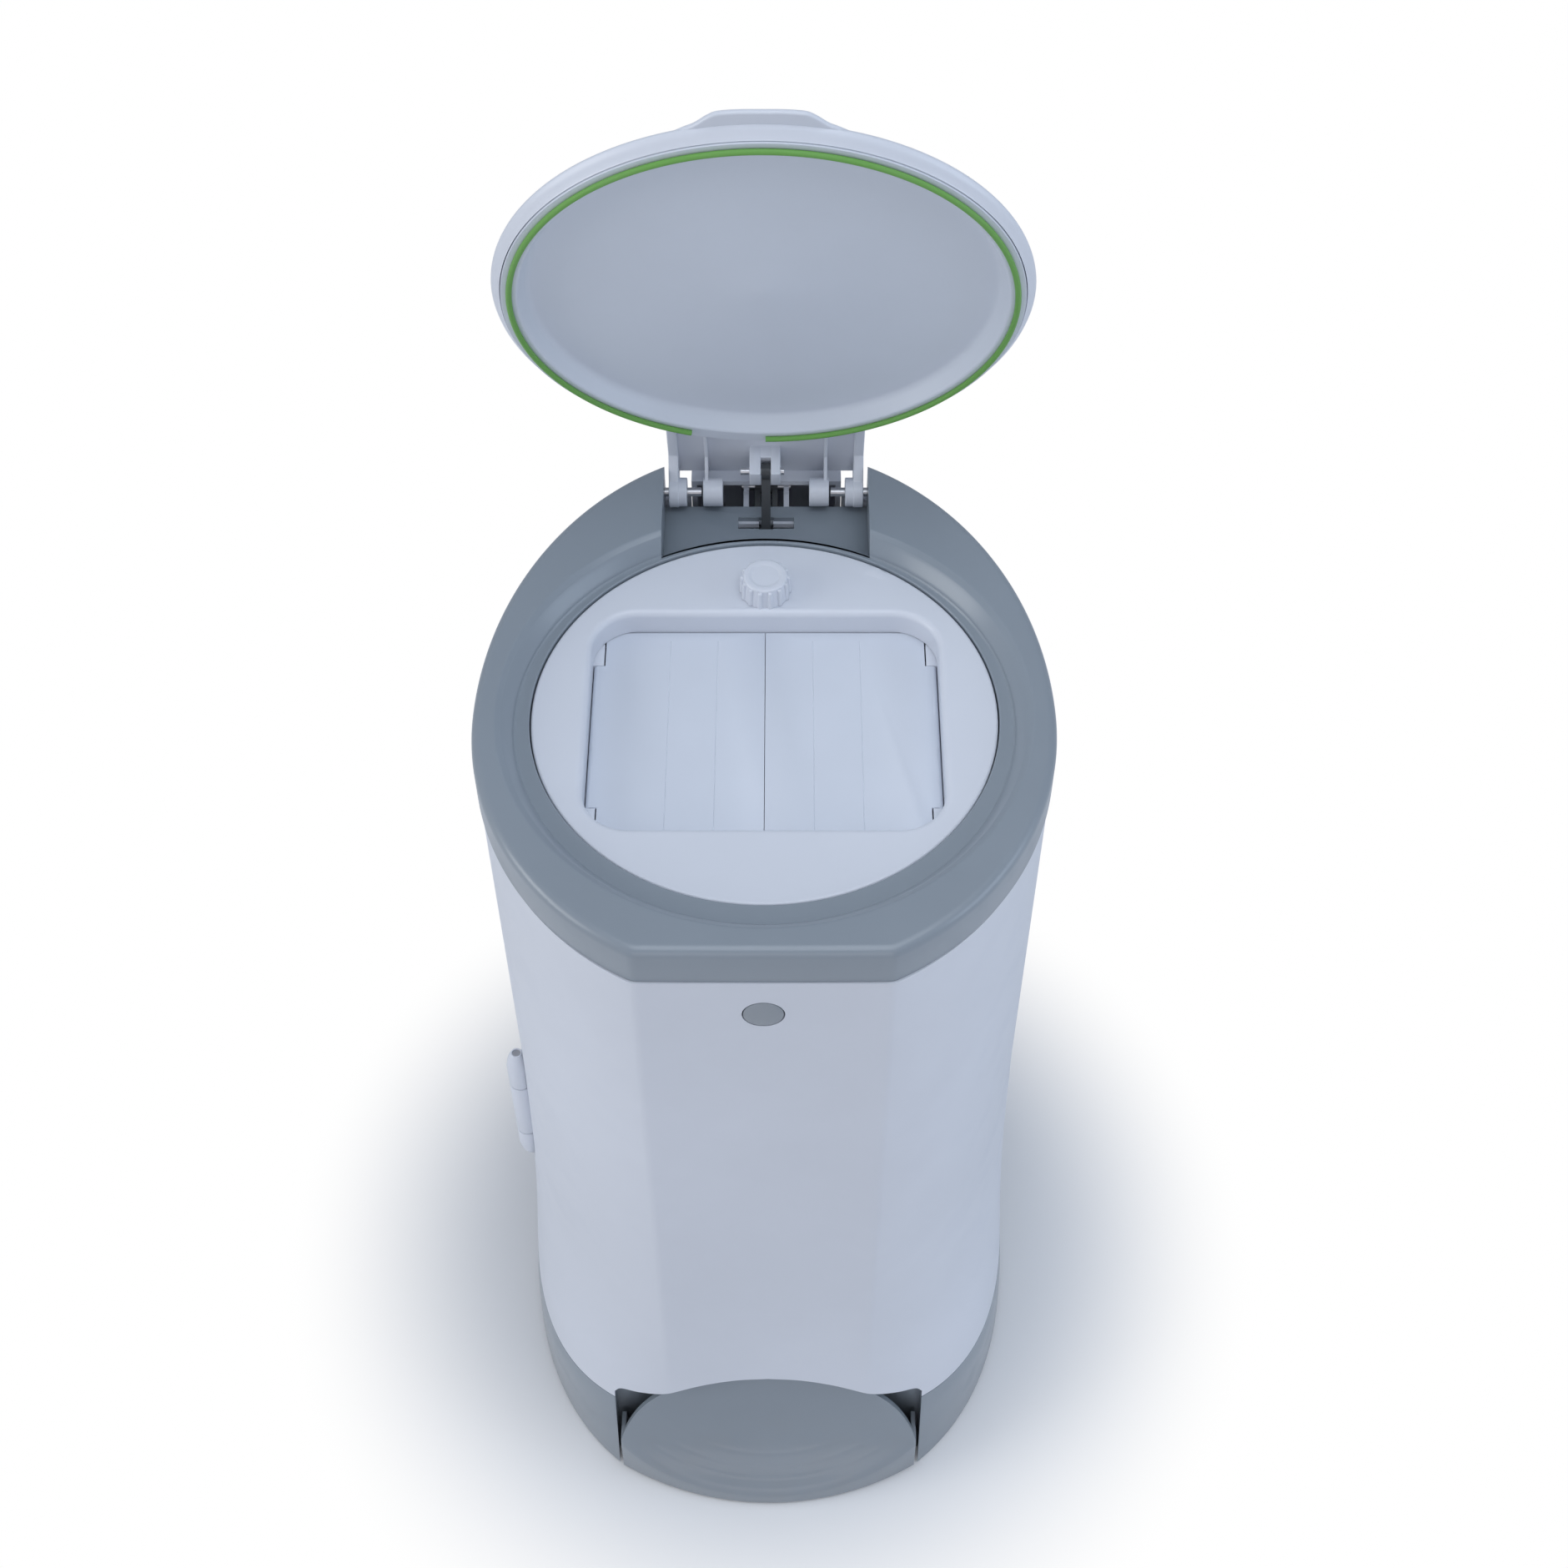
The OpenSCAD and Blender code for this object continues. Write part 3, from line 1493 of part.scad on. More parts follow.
module pedal() {
    half = arch_w / 2 - pedal_gap;
    rib_from = lever_w / 2 + rib_gap;
    color(grey)
        difference() {
            intersection() {
                union() {
                    side_plate(-half, half)
                        pedal_skin();
                    for (from = [-half, half - pedal_side_t, rib_from, -rib_from - pedal_side_t])
                        side_plate(from, from + pedal_side_t)
                            pedal_side();
                    pedal_lip(half);
                }
                translate([0, pedal_front_cy, -overrun])
                    cylinder(r = pedal_front_r, h = far, $fn = 240);
                pedal_crown(half);
            }
            pedal_screw_bores(fix_gap);
        }
}

module pedal_screw_bores(gap) {
    for (p = pedal_screw_at)
        at_pivot(p)
            rod_x(small_screw_d + 2 * gap, -lever_w, lever_w);
}

module pedal_screws() {
    edge = lever_w / 2 + rib_gap + pedal_side_t;
    color(steel)
        for (p = pedal_screw_at)
            at_pivot(p) {
                rod_x(small_screw_d, -edge, edge);
                rod_x(small_head_d, edge, edge + small_head_h);
            }
}

module pedal_lever() {
    front = [-lever_front_y, lever_front_z];
    reach = (lever_neck_y - front[0]) / (lever_end_at[0] - front[0]);
    neck = front + (lever_end_at - front) * reach;
    color(dark_grey)
        difference() {
            union() {
                link_plate(front, neck, lever_h, [0, 0], -lever_w / 2, lever_w / 2);
                link_plate(neck - [overrun, 0], lever_end_at, lever_h - overrun, [0, lever_h / 2],
                           -lever_end_w / 2, lever_end_w / 2);
                at_pivot(axle_at)
                    rod_x(2 * hub_r, -lever_w / 2 - seat_gap / 3, lever_w / 2 + seat_gap / 3);
            }
            at_pivot(axle_at)
                rod_x(axle_d + 2 * fix_gap, -far, far);
            at_pivot(lever_end_at)
                rod_x(link_pin_d + 2 * fix_gap, -far, far);
            pedal_screw_bores(fix_gap);
        }
}

module pedal_axle() {
    color(steel)
        at_pivot(axle_at)
            rod_x(axle_d, -bearing_x - bearing_t - wall, bearing_x + bearing_t + wall);
}

module lever_pin() {
    color(steel)
        at_pivot(lever_end_at)
            rod_x(link_pin_d, -lever_end_w / 2 - overrun, rod_x_mid + rod_eye_t / 2 + overrun);
}

module pedal_spring() {
    from = lever_w / 2 + seat_gap;
    to = bearing_x - seat_gap;
    color(steel)
        at_pivot(axle_at)
            translate([from, 0, 0])
                rotate([0, 90, 0])
                    tube(axle_d + 2 * wall, axle_d + 2 * seat_gap, to - from);
}

// Door
module door_panel() {
    color(white)
        difference() {
            union() {
                difference() {
                    intersection() {
                        body_skin();
                        above_seam(door_gap);
                        front_space(door_gap / 2);
                        translate([-far, -far, 0])
                            cube([2 * far, 2 * far, collar_bottom_z - door_gap]);
                    }
                    arch_cut();
                    shell_knuckle_zone(door_gap);
                }
                translate([door_axis[0], door_axis[1], knuckle_mid_z - knuckle_h / 2 + door_gap / 2])
                    cylinder(r = door_barrel_r, h = knuckle_h - door_gap);
            }
            translate([door_axis[0], door_axis[1], bump_z])
                cylinder(d = door_pin_d + 2 * run_gap, h = bump_h);
            translate([0, 0, button_z])
                rod_y(button_d + 2 * button_gap, -far, -body_front + wall + overrun);
        }
}

module door_hinge_pin() {
    color(steel)
        translate([door_axis[0], door_axis[1], bump_z + overrun])
            cylinder(d = door_pin_d, h = bump_h - 2 * overrun);
}

module latch_housing() {
    front = -body_front + wall;
    back = front + housing_depth;
    half = housing_w / 2;
    low = button_z - housing_low;
    high = button_z + housing_high;
    guide_y = front + guide_depth;
    color(dark_grey)
        difference() {
            slab([-half, half], [front, back], [low, high]);
            slab([-half + housing_wall, half - housing_wall], [front - overrun, guide_y],
                 [low + housing_wall, high - housing_wall]);
            slab([-half + housing_wall, half - housing_wall], [guide_y + guide_t, back - housing_wall],
                 [low + housing_wall, high + overrun]);
            translate([0, 0, button_z])
                rod_y(stem_d + 2 * run_gap, guide_y - overrun, guide_y + guide_t + overrun);
        }
}

module door_button() {
    r = button_d / 2;
    dome_share = [0, 0.35, 0.65, 0.88, 1];
    dome = [for (s = dome_share)
        [r * s, button_dome_r - sqrt(button_dome_r * button_dome_r - r * r * s * s)]];
    color([0.55, 0.60, 0.65])
        translate([0, -body_front - button_proud, button_z])
            rotate([-90, 0, 0])
                rotate_extrude()
                    polygon(concat(dome, [
                        [r, button_len], [stem_d / 2, button_len],
                        [stem_d / 2, button_len + stem_len], [0, button_len + stem_len]]));
}

module button_spring() {
    from = -body_front - button_proud + button_len + button_stroke + seat_gap;
    to = -body_front + wall + guide_depth - seat_gap;
    color(steel)
        translate([0, to, button_z])
            rotate([90, 0, 0])
                tube(stem_d + 2 * wall, stem_d + 2 * seat_gap, to - from);
}

module latch_tongue() {
    back = -body_front + wall + housing_depth - housing_wall - seat_gap;
    low = button_z - housing_low + housing_wall + button_stroke * wedge_ratio;
    high = collar_bottom_z - door_gap;
    color(steel)
        difference() {
            slab([-tongue_w / 2, tongue_w / 2], [back - tongue_t, back], [low, high]);
            slab([-stem_d / 2 - move_gap, stem_d / 2 + move_gap],
                 [back - tongue_t - overrun, back + overrun],
                 [button_z - stem_d / 2 - move_gap,
                  button_z + stem_d / 2 + button_stroke * wedge_ratio + move_gap]);
        }
}

body_shell();
chamber_wall();
chamber_floor();
rear_cover();
cover_screws();
collar();
hinge_bracket();
bracket_screws();
hinge_pin_left();
hinge_pin_right();
rocker_pin();
latch_keeper();
bag_ring();
base();
base_plate();
base_posts();
base_screws();
rubber_feet();
bearing_left();
bearing_right();
door_hinge_pin();
trap_plate();
trap_pin_left();
trap_pin_right();
trap_spring_left();
trap_spring_right();
trap_flap_left();
trap_flap_right();
knob();
knob_cam();
knob_screw();
lid_shell();
lid_panel();
lid_seal();
clevis_pin();
lift_link();
rocker();
rocker_end_pin();
push_rod();
pedal();
pedal_lever();
pedal_axle();
lever_pin();
pedal_screws();
pedal_spring();
door_panel();
latch_housing();
door_button();
button_spring();
latch_tongue();
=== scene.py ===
"""Looks of a pedal nappy bin with a swing-up lid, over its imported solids.

Sizes in the classes are millimetres in the part's own frame: X to the right, Y to the back, Z up, and the
origin on the floor under the middle of the trap plate. Meshes are made in metres at that same place.
"""

from __future__ import annotations

import json
import logging
import math
from contextlib import contextmanager
from dataclasses import dataclass, field
from enum import Enum
from typing import Callable, Iterable, Iterator, Sequence

import bmesh
import bpy
import numpy as np
from mathutils import Matrix, Vector

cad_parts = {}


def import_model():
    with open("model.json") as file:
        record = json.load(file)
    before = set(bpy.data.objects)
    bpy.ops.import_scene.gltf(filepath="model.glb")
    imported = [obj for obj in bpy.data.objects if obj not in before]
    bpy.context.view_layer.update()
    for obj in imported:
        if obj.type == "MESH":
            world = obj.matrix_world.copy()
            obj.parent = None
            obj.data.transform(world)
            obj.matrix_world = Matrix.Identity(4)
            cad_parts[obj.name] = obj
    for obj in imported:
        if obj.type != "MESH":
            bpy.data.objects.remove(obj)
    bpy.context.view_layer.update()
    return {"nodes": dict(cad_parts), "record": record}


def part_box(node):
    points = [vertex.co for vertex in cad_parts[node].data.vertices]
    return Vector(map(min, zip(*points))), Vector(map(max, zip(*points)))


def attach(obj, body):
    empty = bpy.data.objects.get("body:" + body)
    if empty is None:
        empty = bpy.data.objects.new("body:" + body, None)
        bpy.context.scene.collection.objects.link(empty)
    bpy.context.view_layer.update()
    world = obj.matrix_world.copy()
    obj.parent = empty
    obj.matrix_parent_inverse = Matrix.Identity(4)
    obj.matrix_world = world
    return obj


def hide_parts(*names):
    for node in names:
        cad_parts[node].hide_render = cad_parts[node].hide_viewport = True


LOG = logging.getLogger("nappy_bin")
MM = 0.001
WELD_REACH = 1e-6
PLAIN_SHADE = 32.0
Point2 = tuple[float, float]
Point3 = tuple[float, float, float]
Colour = tuple[float, float, float]
Piece = bpy.types.Object
Socket = bpy.types.NodeSocket


def shift(x: float, y: float, z: float) -> Matrix:
    """Move by a distance in millimetres."""
    return Matrix.Translation(Vector((x, y, z)) * MM)


class Body(Enum):
    """Moving bodies that pieces ride on."""

    BIN = "bin"
    DOOR = "door"
    LID = "lid"
    PEDAL = "foot_pedal"
    KNOB = "plate_knob"
    BUTTON = "button"
    FLAP_LEFT = "flap_left"
    FLAP_RIGHT = "flap_right"


class Axis(Enum):
    """Direction that a flat outline is drawn out along."""

    X = "x"
    Y = "y"
    Z = "z"


class MeshKit:
    """Small tools that make and finish meshes."""

    @staticmethod
    def link(name: str, data: bpy.types.ID) -> Piece:
        """Make an object of its data and link it to the scene."""
        made = bpy.data.objects.new(name, data)
        bpy.context.scene.collection.objects.link(made)
        return made

    @staticmethod
    def from_points(name: str, points: Iterable[Sequence[float]], faces: Sequence[Sequence[int]]) -> Piece:
        """Make an object from points in millimetres.

        Args:
            name: name of the new object.
            points: places of the corners in millimetres.
            faces: corner numbers of each face.

        Returns:
            The new object, linked to the scene.
        """
        mesh = bpy.data.meshes.new(name)
        mesh.from_pydata([Vector(p) * MM for p in points], [], faces)
        mesh.update()
        return MeshKit.link(name, mesh)

    @staticmethod
    def grid(name: str, rows: np.ndarray, round_about: bool = False) -> Piece:
        """Make a sheet from rows of points.

        Args:
            name: name of the new object.
            rows: array of shape (rows, columns, 3) in millimetres.
            round_about: whether the last column joins the first.

        Returns:
            The new sheet.
        """
        count, width = rows.shape[:2]
        across = width if round_about else width - 1
        faces = []
        for row in range(count - 1):
            for column in range(across):
                beside = (column + 1) % width
                faces.append((row * width + column, row * width + beside,
                              (row + 1) * width + beside, (row + 1) * width + column))
        return MeshKit.from_points(name, rows.reshape(-1, 3), faces)

    @staticmethod
    def revolve(name: str, profile: Sequence[Point2], centre: Point2 = (0.0, 0.0), steps: int = 256) -> Piece:
        """Turn a profile of radius and height about an upright axis.

        Args:
            name: name of the new object.
            profile: radius and height of each ring in millimetres.
            centre: place of the axis in the floor's plane.
            steps: number of flat steps round the axis.

        Returns:
            The closed or open round piece.
        """
        turn = np.linspace(0.0, 2.0 * math.pi, steps, endpoint=False)
        rows = np.zeros((len(profile), steps, 3))
        for row, (radius, height) in enumerate(profile):
            rows[row, :, 0] = centre[0] + radius * np.cos(turn)
            rows[row, :, 1] = centre[1] + radius * np.sin(turn)
            rows[row, :, 2] = height
        piece = MeshKit.grid(name, rows, round_about=True)
        MeshKit.weld(piece)
        return piece

    @staticmethod
    def prism(name: str, outline: Sequence[Point2], axis: Axis, low: float, high: float) -> Piece:
        """Draw a flat outline out along an axis.

        Args:
            name: name of the new object.
            outline: corners; (y, z) for X, (x, z) for Y and (x, y) for Z.
            axis: direction to draw out along.
            low: start along the axis.
            high: end along the axis.

        Returns:
            The closed piece.
        """
        order: dict[Axis, Callable[[Point2, float], Point3]] = {
            Axis.X: lambda p, at: (at, p[0], p[1]),
            Axis.Y: lambda p, at: (p[0], at, p[1]),
            Axis.Z: lambda p, at: (p[0], p[1], at),
        }
        count = len(outline)
        points = [order[axis](p, at) for at in (low, high) for p in outline]
        faces: list[Sequence[int]] = [list(range(count)), list(range(2 * count - 1, count - 1, -1))]
        for corner in range(count):
            beside = (corner + 1) % count
            faces.append((corner, corner + count, beside + count, beside))
        piece = MeshKit.from_points(name, points, faces)
        MeshKit.face_outwards(piece)
        return piece

    @staticmethod
    def slab(name: str, low: Sequence[float], high: Sequence[float], edge: float = 0.5) -> Piece:
        """Make a block with softened edges between two corners."""
        outline = [(low[0], low[1]), (high[0], low[1]), (high[0], high[1]), (low[0], high[1])]
        piece = MeshKit.prism(name, outline, Axis.Z, low[2], high[2])
        MeshKit.bevel(piece, edge)
        return piece

    @staticmethod
    @contextmanager
    def opened(piece: Piece) -> Iterator[bmesh.types.BMesh]:
        """Lend a piece's mesh for changes, and point its faces outwards after them.

        Args:
            piece: the piece whose mesh is changed.

        Returns:
            The mesh in its editable form.
        """
        work = bmesh.new()
        work.from_mesh(piece.data)
        yield work
        bmesh.ops.recalc_face_normals(work, faces=work.faces)
        work.to_mesh(piece.data)
        work.free()

    @staticmethod
    def weld(piece: Piece) -> None:
        """Merge doubled corners and point the faces outwards."""
        with MeshKit.opened(piece) as work:
            bmesh.ops.remove_doubles(work, verts=work.verts, dist=WELD_REACH)
            bmesh.ops.dissolve_degenerate(work, edges=work.edges, dist=WELD_REACH)

    @staticmethod
    def face_outwards(piece: Piece) -> None:
        """Point the faces of a closed piece outwards."""
        with MeshKit.opened(piece):
            pass

    @staticmethod
    def face_away(piece: Piece, centre: Sequence[float]) -> None:
        """Turn an open sheet's faces away from a place inside it.

        Args:
            piece: the sheet.
            centre: a place on the sheet's hollow side, in millimetres.
        """
        inside = Vector(centre) * MM
        lean = sum((face.center - inside).dot(face.normal) * face.area for face in piece.data.polygons)
        if lean < 0.0:
            piece.data.flip_normals()

    @staticmethod
    def cap(piece: Piece) -> None:
        """Close the open ends of a piece and point its faces outwards."""
        with MeshKit.opened(piece) as work:
            open_edges = [edge for edge in work.edges if edge.is_boundary]
            bmesh.ops.holes_fill(work, edges=open_edges, sides=0)

    @staticmethod
    def settle(piece: Piece) -> None:
        """Turn a piece's modifiers into plain mesh."""
        graph = bpy.context.evaluated_depsgraph_get()
        mesh = bpy.data.meshes.new_from_object(piece.evaluated_get(graph), depsgraph=graph)
        piece.modifiers.clear()
        old = piece.data
        piece.data = mesh
        mesh.name = piece.name
        bpy.data.meshes.remove(old)

    @staticmethod
    def modify(piece: Piece, kind: str, **settings: object) -> None:
        """Put a modifier on a piece and turn it into plain mesh.

        Args:
            piece: the piece that is changed.
            kind: the modifier's type.
            settings: the modifier's properties.
        """
        step = piece.modifiers.new(kind.lower(), kind)
        for name, value in settings.items():
            setattr(step, name, value)
        MeshKit.settle(piece)

    @staticmethod
    def thicken(piece: Piece, wall: float) -> None:
        """Give a sheet a wall on its inner side."""
        MeshKit.modify(piece, "SOLIDIFY", thickness=wall * MM, offset=-1.0, use_even_offset=True,
                       use_rim=True)

    @staticmethod
    def bevel(piece: Piece, width: float, segments: int = 3, angle: float = 40.0) -> None:
        """Round the sharp edges of a piece."""
        MeshKit.modify(piece, "BEVEL", width=width * MM, segments=segments, limit_method="ANGLE",
                       angle_limit=math.radians(angle), use_clamp_overlap=True)

    @staticmethod
    def cut(piece: Piece, tool: Piece) -> None:
        """Cut a closed tool out of a piece and remove the tool."""
        MeshKit.modify(piece, "BOOLEAN", operation="DIFFERENCE", solver="EXACT", object=tool)
        bpy.data.objects.remove(tool)

    @staticmethod
    def join(name: str, pieces: Sequence[Piece], angle: float | None = None) -> Piece:
        """Put several meshes in one object.

        Args:
            name: name of the joined object.
            pieces: the objects that it takes in, which are removed.
            angle: edges sharper than this stay sharp in its shading; None leaves it unshaded.

        Returns:
            The joined object.
        """
        work = bmesh.new()
        for piece in pieces:
            work.from_mesh(piece.data)
        mesh = bpy.data.meshes.new(name)
        work.to_mesh(mesh)
        work.free()
        for piece in pieces:
            bpy.data.objects.remove(piece)
        whole = MeshKit.link(name, mesh)
        if angle is not None:
            MeshKit.shade(whole, angle)
        return whole

    @staticmethod
    def shade(piece: Piece, angle: float) -> None:
        """Shade a piece smoothly between its sharp edges."""
        piece.data.shade_smooth()
        piece.data.set_sharp_from_angle(angle=math.radians(angle))


class Curve2:
    """Smooth lines through a few named points."""

    @staticmethod
    def through(points: Sequence[Point2], per_gap: int = 8) -> list[Point2]:
        """Draw a Catmull-Rom line through points.

        Args:
            points: the places that the line passes.
            per_gap: steps between two of them.

        Returns:
            The line's points.
        """
        given = np.array(points, dtype=float)
        ends = np.vstack([2 * given[0] - given[1], given, 2 * given[-1] - given[-2]])
        line: list[Point2] = []
        for gap in range(len(given) - 1):
            a, b, c, d = ends[gap:gap + 4]
            for t in np.linspace(0.0, 1.0, per_gap, endpoint=False):
                place = 0.5 * (2 * b + (c - a) * t + (2 * a - 5 * b + 4 * c - d) * t ** 2
                               + (3 * b - a - 3 * c + d) * t ** 3)
                line.append((float(place[0]), float(place[1])))
        line.append((float(given[-1][0]), float(given[-1][1])))
        return line

    @staticmethod
    def monotone(xs: Sequence[float], ys: Sequence[float]) -> Callable[[np.ndarray], np.ndarray]:
        """Make a smooth function through a table that never overshoots.

        Args:
            xs: rising places.
            ys: values there.

        Returns:
            The function, which takes an array of places.
        """
        x = np.array(xs, dtype=float)
        y = np.array(ys, dtype=float)
        step = np.diff(x)
        slope = np.diff(y) / step
        lean = np.zeros_like(y)
        lean[0] = slope[0]
        lean[-1] = slope[-1]
        for i in range(1, len(y) - 1):
            if slope[i - 1] * slope[i] > 0:
                first = 2 * step[i] + step[i - 1]
                second = step[i] + 2 * step[i - 1]
                lean[i] = (first + second) / (first / slope[i - 1] + second / slope[i])

        def value(at: np.ndarray) -> np.ndarray:
            """Value of the smooth table at the given places."""
            place = np.clip(at, x[0], x[-1])
            i = np.clip(np.searchsorted(x, place) - 1, 0, len(step) - 1)
            t = (place - x[i]) / step[i]
            return (y[i] * (1 + 2 * t) * (1 - t) ** 2 + lean[i] * step[i] * t * (1 - t) ** 2
                    + y[i + 1] * t ** 2 * (3 - 2 * t) + lean[i + 1] * step[i] * t ** 2 * (t - 1))

        return value

    @staticmethod
    def rounded(points: Sequence[Point2], radii: Sequence[float], steps: int = 6) -> list[Point2]:
        """Round the inner corners of an open line.

        Args:
            points: corners of the line.
            radii: rounding at each corner; the ends' are not used.
            steps: points along each rounding.

        Returns:
            The rounded line, with a short straight lead beside each rounding.
        """
        longest = 0.45
        beyond = 1.15
        line: list[Point2] = [points[0]]
        for before, corner, after, radius in zip(points, points[1:], points[2:], radii[1:]):
            middle = np.array(corner, dtype=float)
            back = np.array(before, dtype=float) - middle
            on = np.array(after, dtype=float) - middle
            back_length = np.linalg.norm(back)
            on_length = np.linalg.norm(on)
            reach = min(radius, longest * back_length, longest * on_length)
            back_step = back / back_length * reach
            on_step = on / on_length * reach
            start = middle + back_step
            end = middle + on_step
            line.append(tuple(middle + back_step * beyond))
            for t in np.linspace(0.0, 1.0, steps):
                line.append(tuple((1 - t) ** 2 * start + 2 * t * (1 - t) * middle + t ** 2 * end))
            line.append(tuple(middle + on_step * beyond))
        line.append(points[-1])
        return [(float(p[0]), float(p[1])) for p in line]

    @staticmethod
    def arc(centre: Point2, radius: float, start: float, end: float, steps: int) -> list[Point2]:
        """Points of a circle's arc between two angles in degrees."""
        turn = np.radians(np.linspace(start, end, steps))
        return [(centre[0] + radius * math.cos(a), centre[1] + radius * math.sin(a)) for a in turn]


class Track:
    """Right half of an outline as a measured line, from the middle of the front to the middle of the back."""

    crease_reach: float = 8.0

    def __init__(self, points: np.ndarray) -> None:
        """Measure the line."""
        self.points = points
        steps = np.linalg.norm(np.diff(points, axis=0), axis=1)
        self.marks = np.concatenate([[0.0], np.cumsum(steps)])
        self.length = float(self.marks[-1])

    def at(self, marks: np.ndarray) -> np.ndarray:
        """Places at signed marks: negative ones lie on the left half."""
        away = np.abs(marks)
        away = np.where(away > self.length, 2 * self.length - away, away)
        side = np.where(np.abs(marks) > self.length, -np.sign(marks), np.sign(marks))
        x = np.interp(away, self.marks, self.points[:, 0]) * np.where(side == 0, 1.0, side)
        y = np.interp(away, self.marks, self.points[:, 1])
        return np.stack([x, y], axis=-1)

    def softened(self, marks: np.ndarray, soften: np.ndarray) -> np.ndarray:
        """Places whose corners are rounded over a given half width.

        Args:
            marks: signed marks along the line.
            soften: half width of the rounding at each mark.

        Returns:
            Array of places.
        """
        taps = np.linspace(-1.0, 1.0, 9)
        return np.mean([self.at(marks + tap * soften) for tap in taps], axis=0)

    def columns(self, crease: float, end: float, counts: tuple[int, int, int]) -> np.ndarray:
        """Marks from the front's middle to an end, dense beside the crease.

        Args:
            crease: mark of the crease.
            end: last mark.
            counts: steps before the crease, beside it and after it.

        Returns:
            The rising marks.
        """
        before, beside, after = counts
        near = crease - self.crease_reach
        far = crease + self.crease_reach
        return np.concatenate([np.linspace(0.0, near, before, endpoint=False),
                               np.linspace(near, far, beside, endpoint=False), np.linspace(far, end, after)])

    def closed(self, right: np.ndarray) -> np.ndarray:
        """Marks of both halves from those of the right one, closed round the form."""
        return np.concatenate([right, 2 * self.length - right[-2:0:-1]])

    def mark_of_y(self, y: float) -> float:
        """Mark where the line first rises past a place in depth."""
        return float(np.interp(y, self.points[:, 1], self.marks))

    def mark_of_x(self, x: float) -> float:
        """Mark where the line first passes a place to the side."""
        widest = int(np.argmax(self.points[:, 0]))
        return float(np.interp(x, self.points[:widest + 1, 0], self.marks[:widest + 1]))


def outline_track(half: float, front: float, back: float, flat: float, power: float, bow: float) -> Track:
    """Build the bin's outline at one level.

    Args:
        half: half width.
        front: distance of the front facet's ends.
        back: distance of the back.
        flat: half width of the front facet.
        power: fullness of the sides; 2 is elliptic.
        bow: how far the facet's middle stands out.

    Returns:
        The measured right half.
    """
    belly = -10.0
    crowding = 1.3
    across = np.linspace(0.0, flat, 24, endpoint=False)
    facet = np.stack([across, -front - bow * (1 - (across / flat) ** 2)], axis=-1)
    start = math.acos((flat / half) ** (power / 2))
    reach = (front + belly) / math.sin(start) ** (2 / power)
    turn = start * (1 - np.linspace(0.0, 1.0, 120)) ** crowding
    side = np.stack([half * np.cos(turn) ** (2 / power), belly - reach * np.sin(turn) ** (2 / power)],
                    axis=-1)
    round_back = np.linspace(0.0, math.pi / 2, 90)[1:]
    rear = np.stack([half * np.cos(round_back), belly + (back - belly) * np.sin(round_back)], axis=-1)
    return Track(np.vstack([facet, side, rear]))


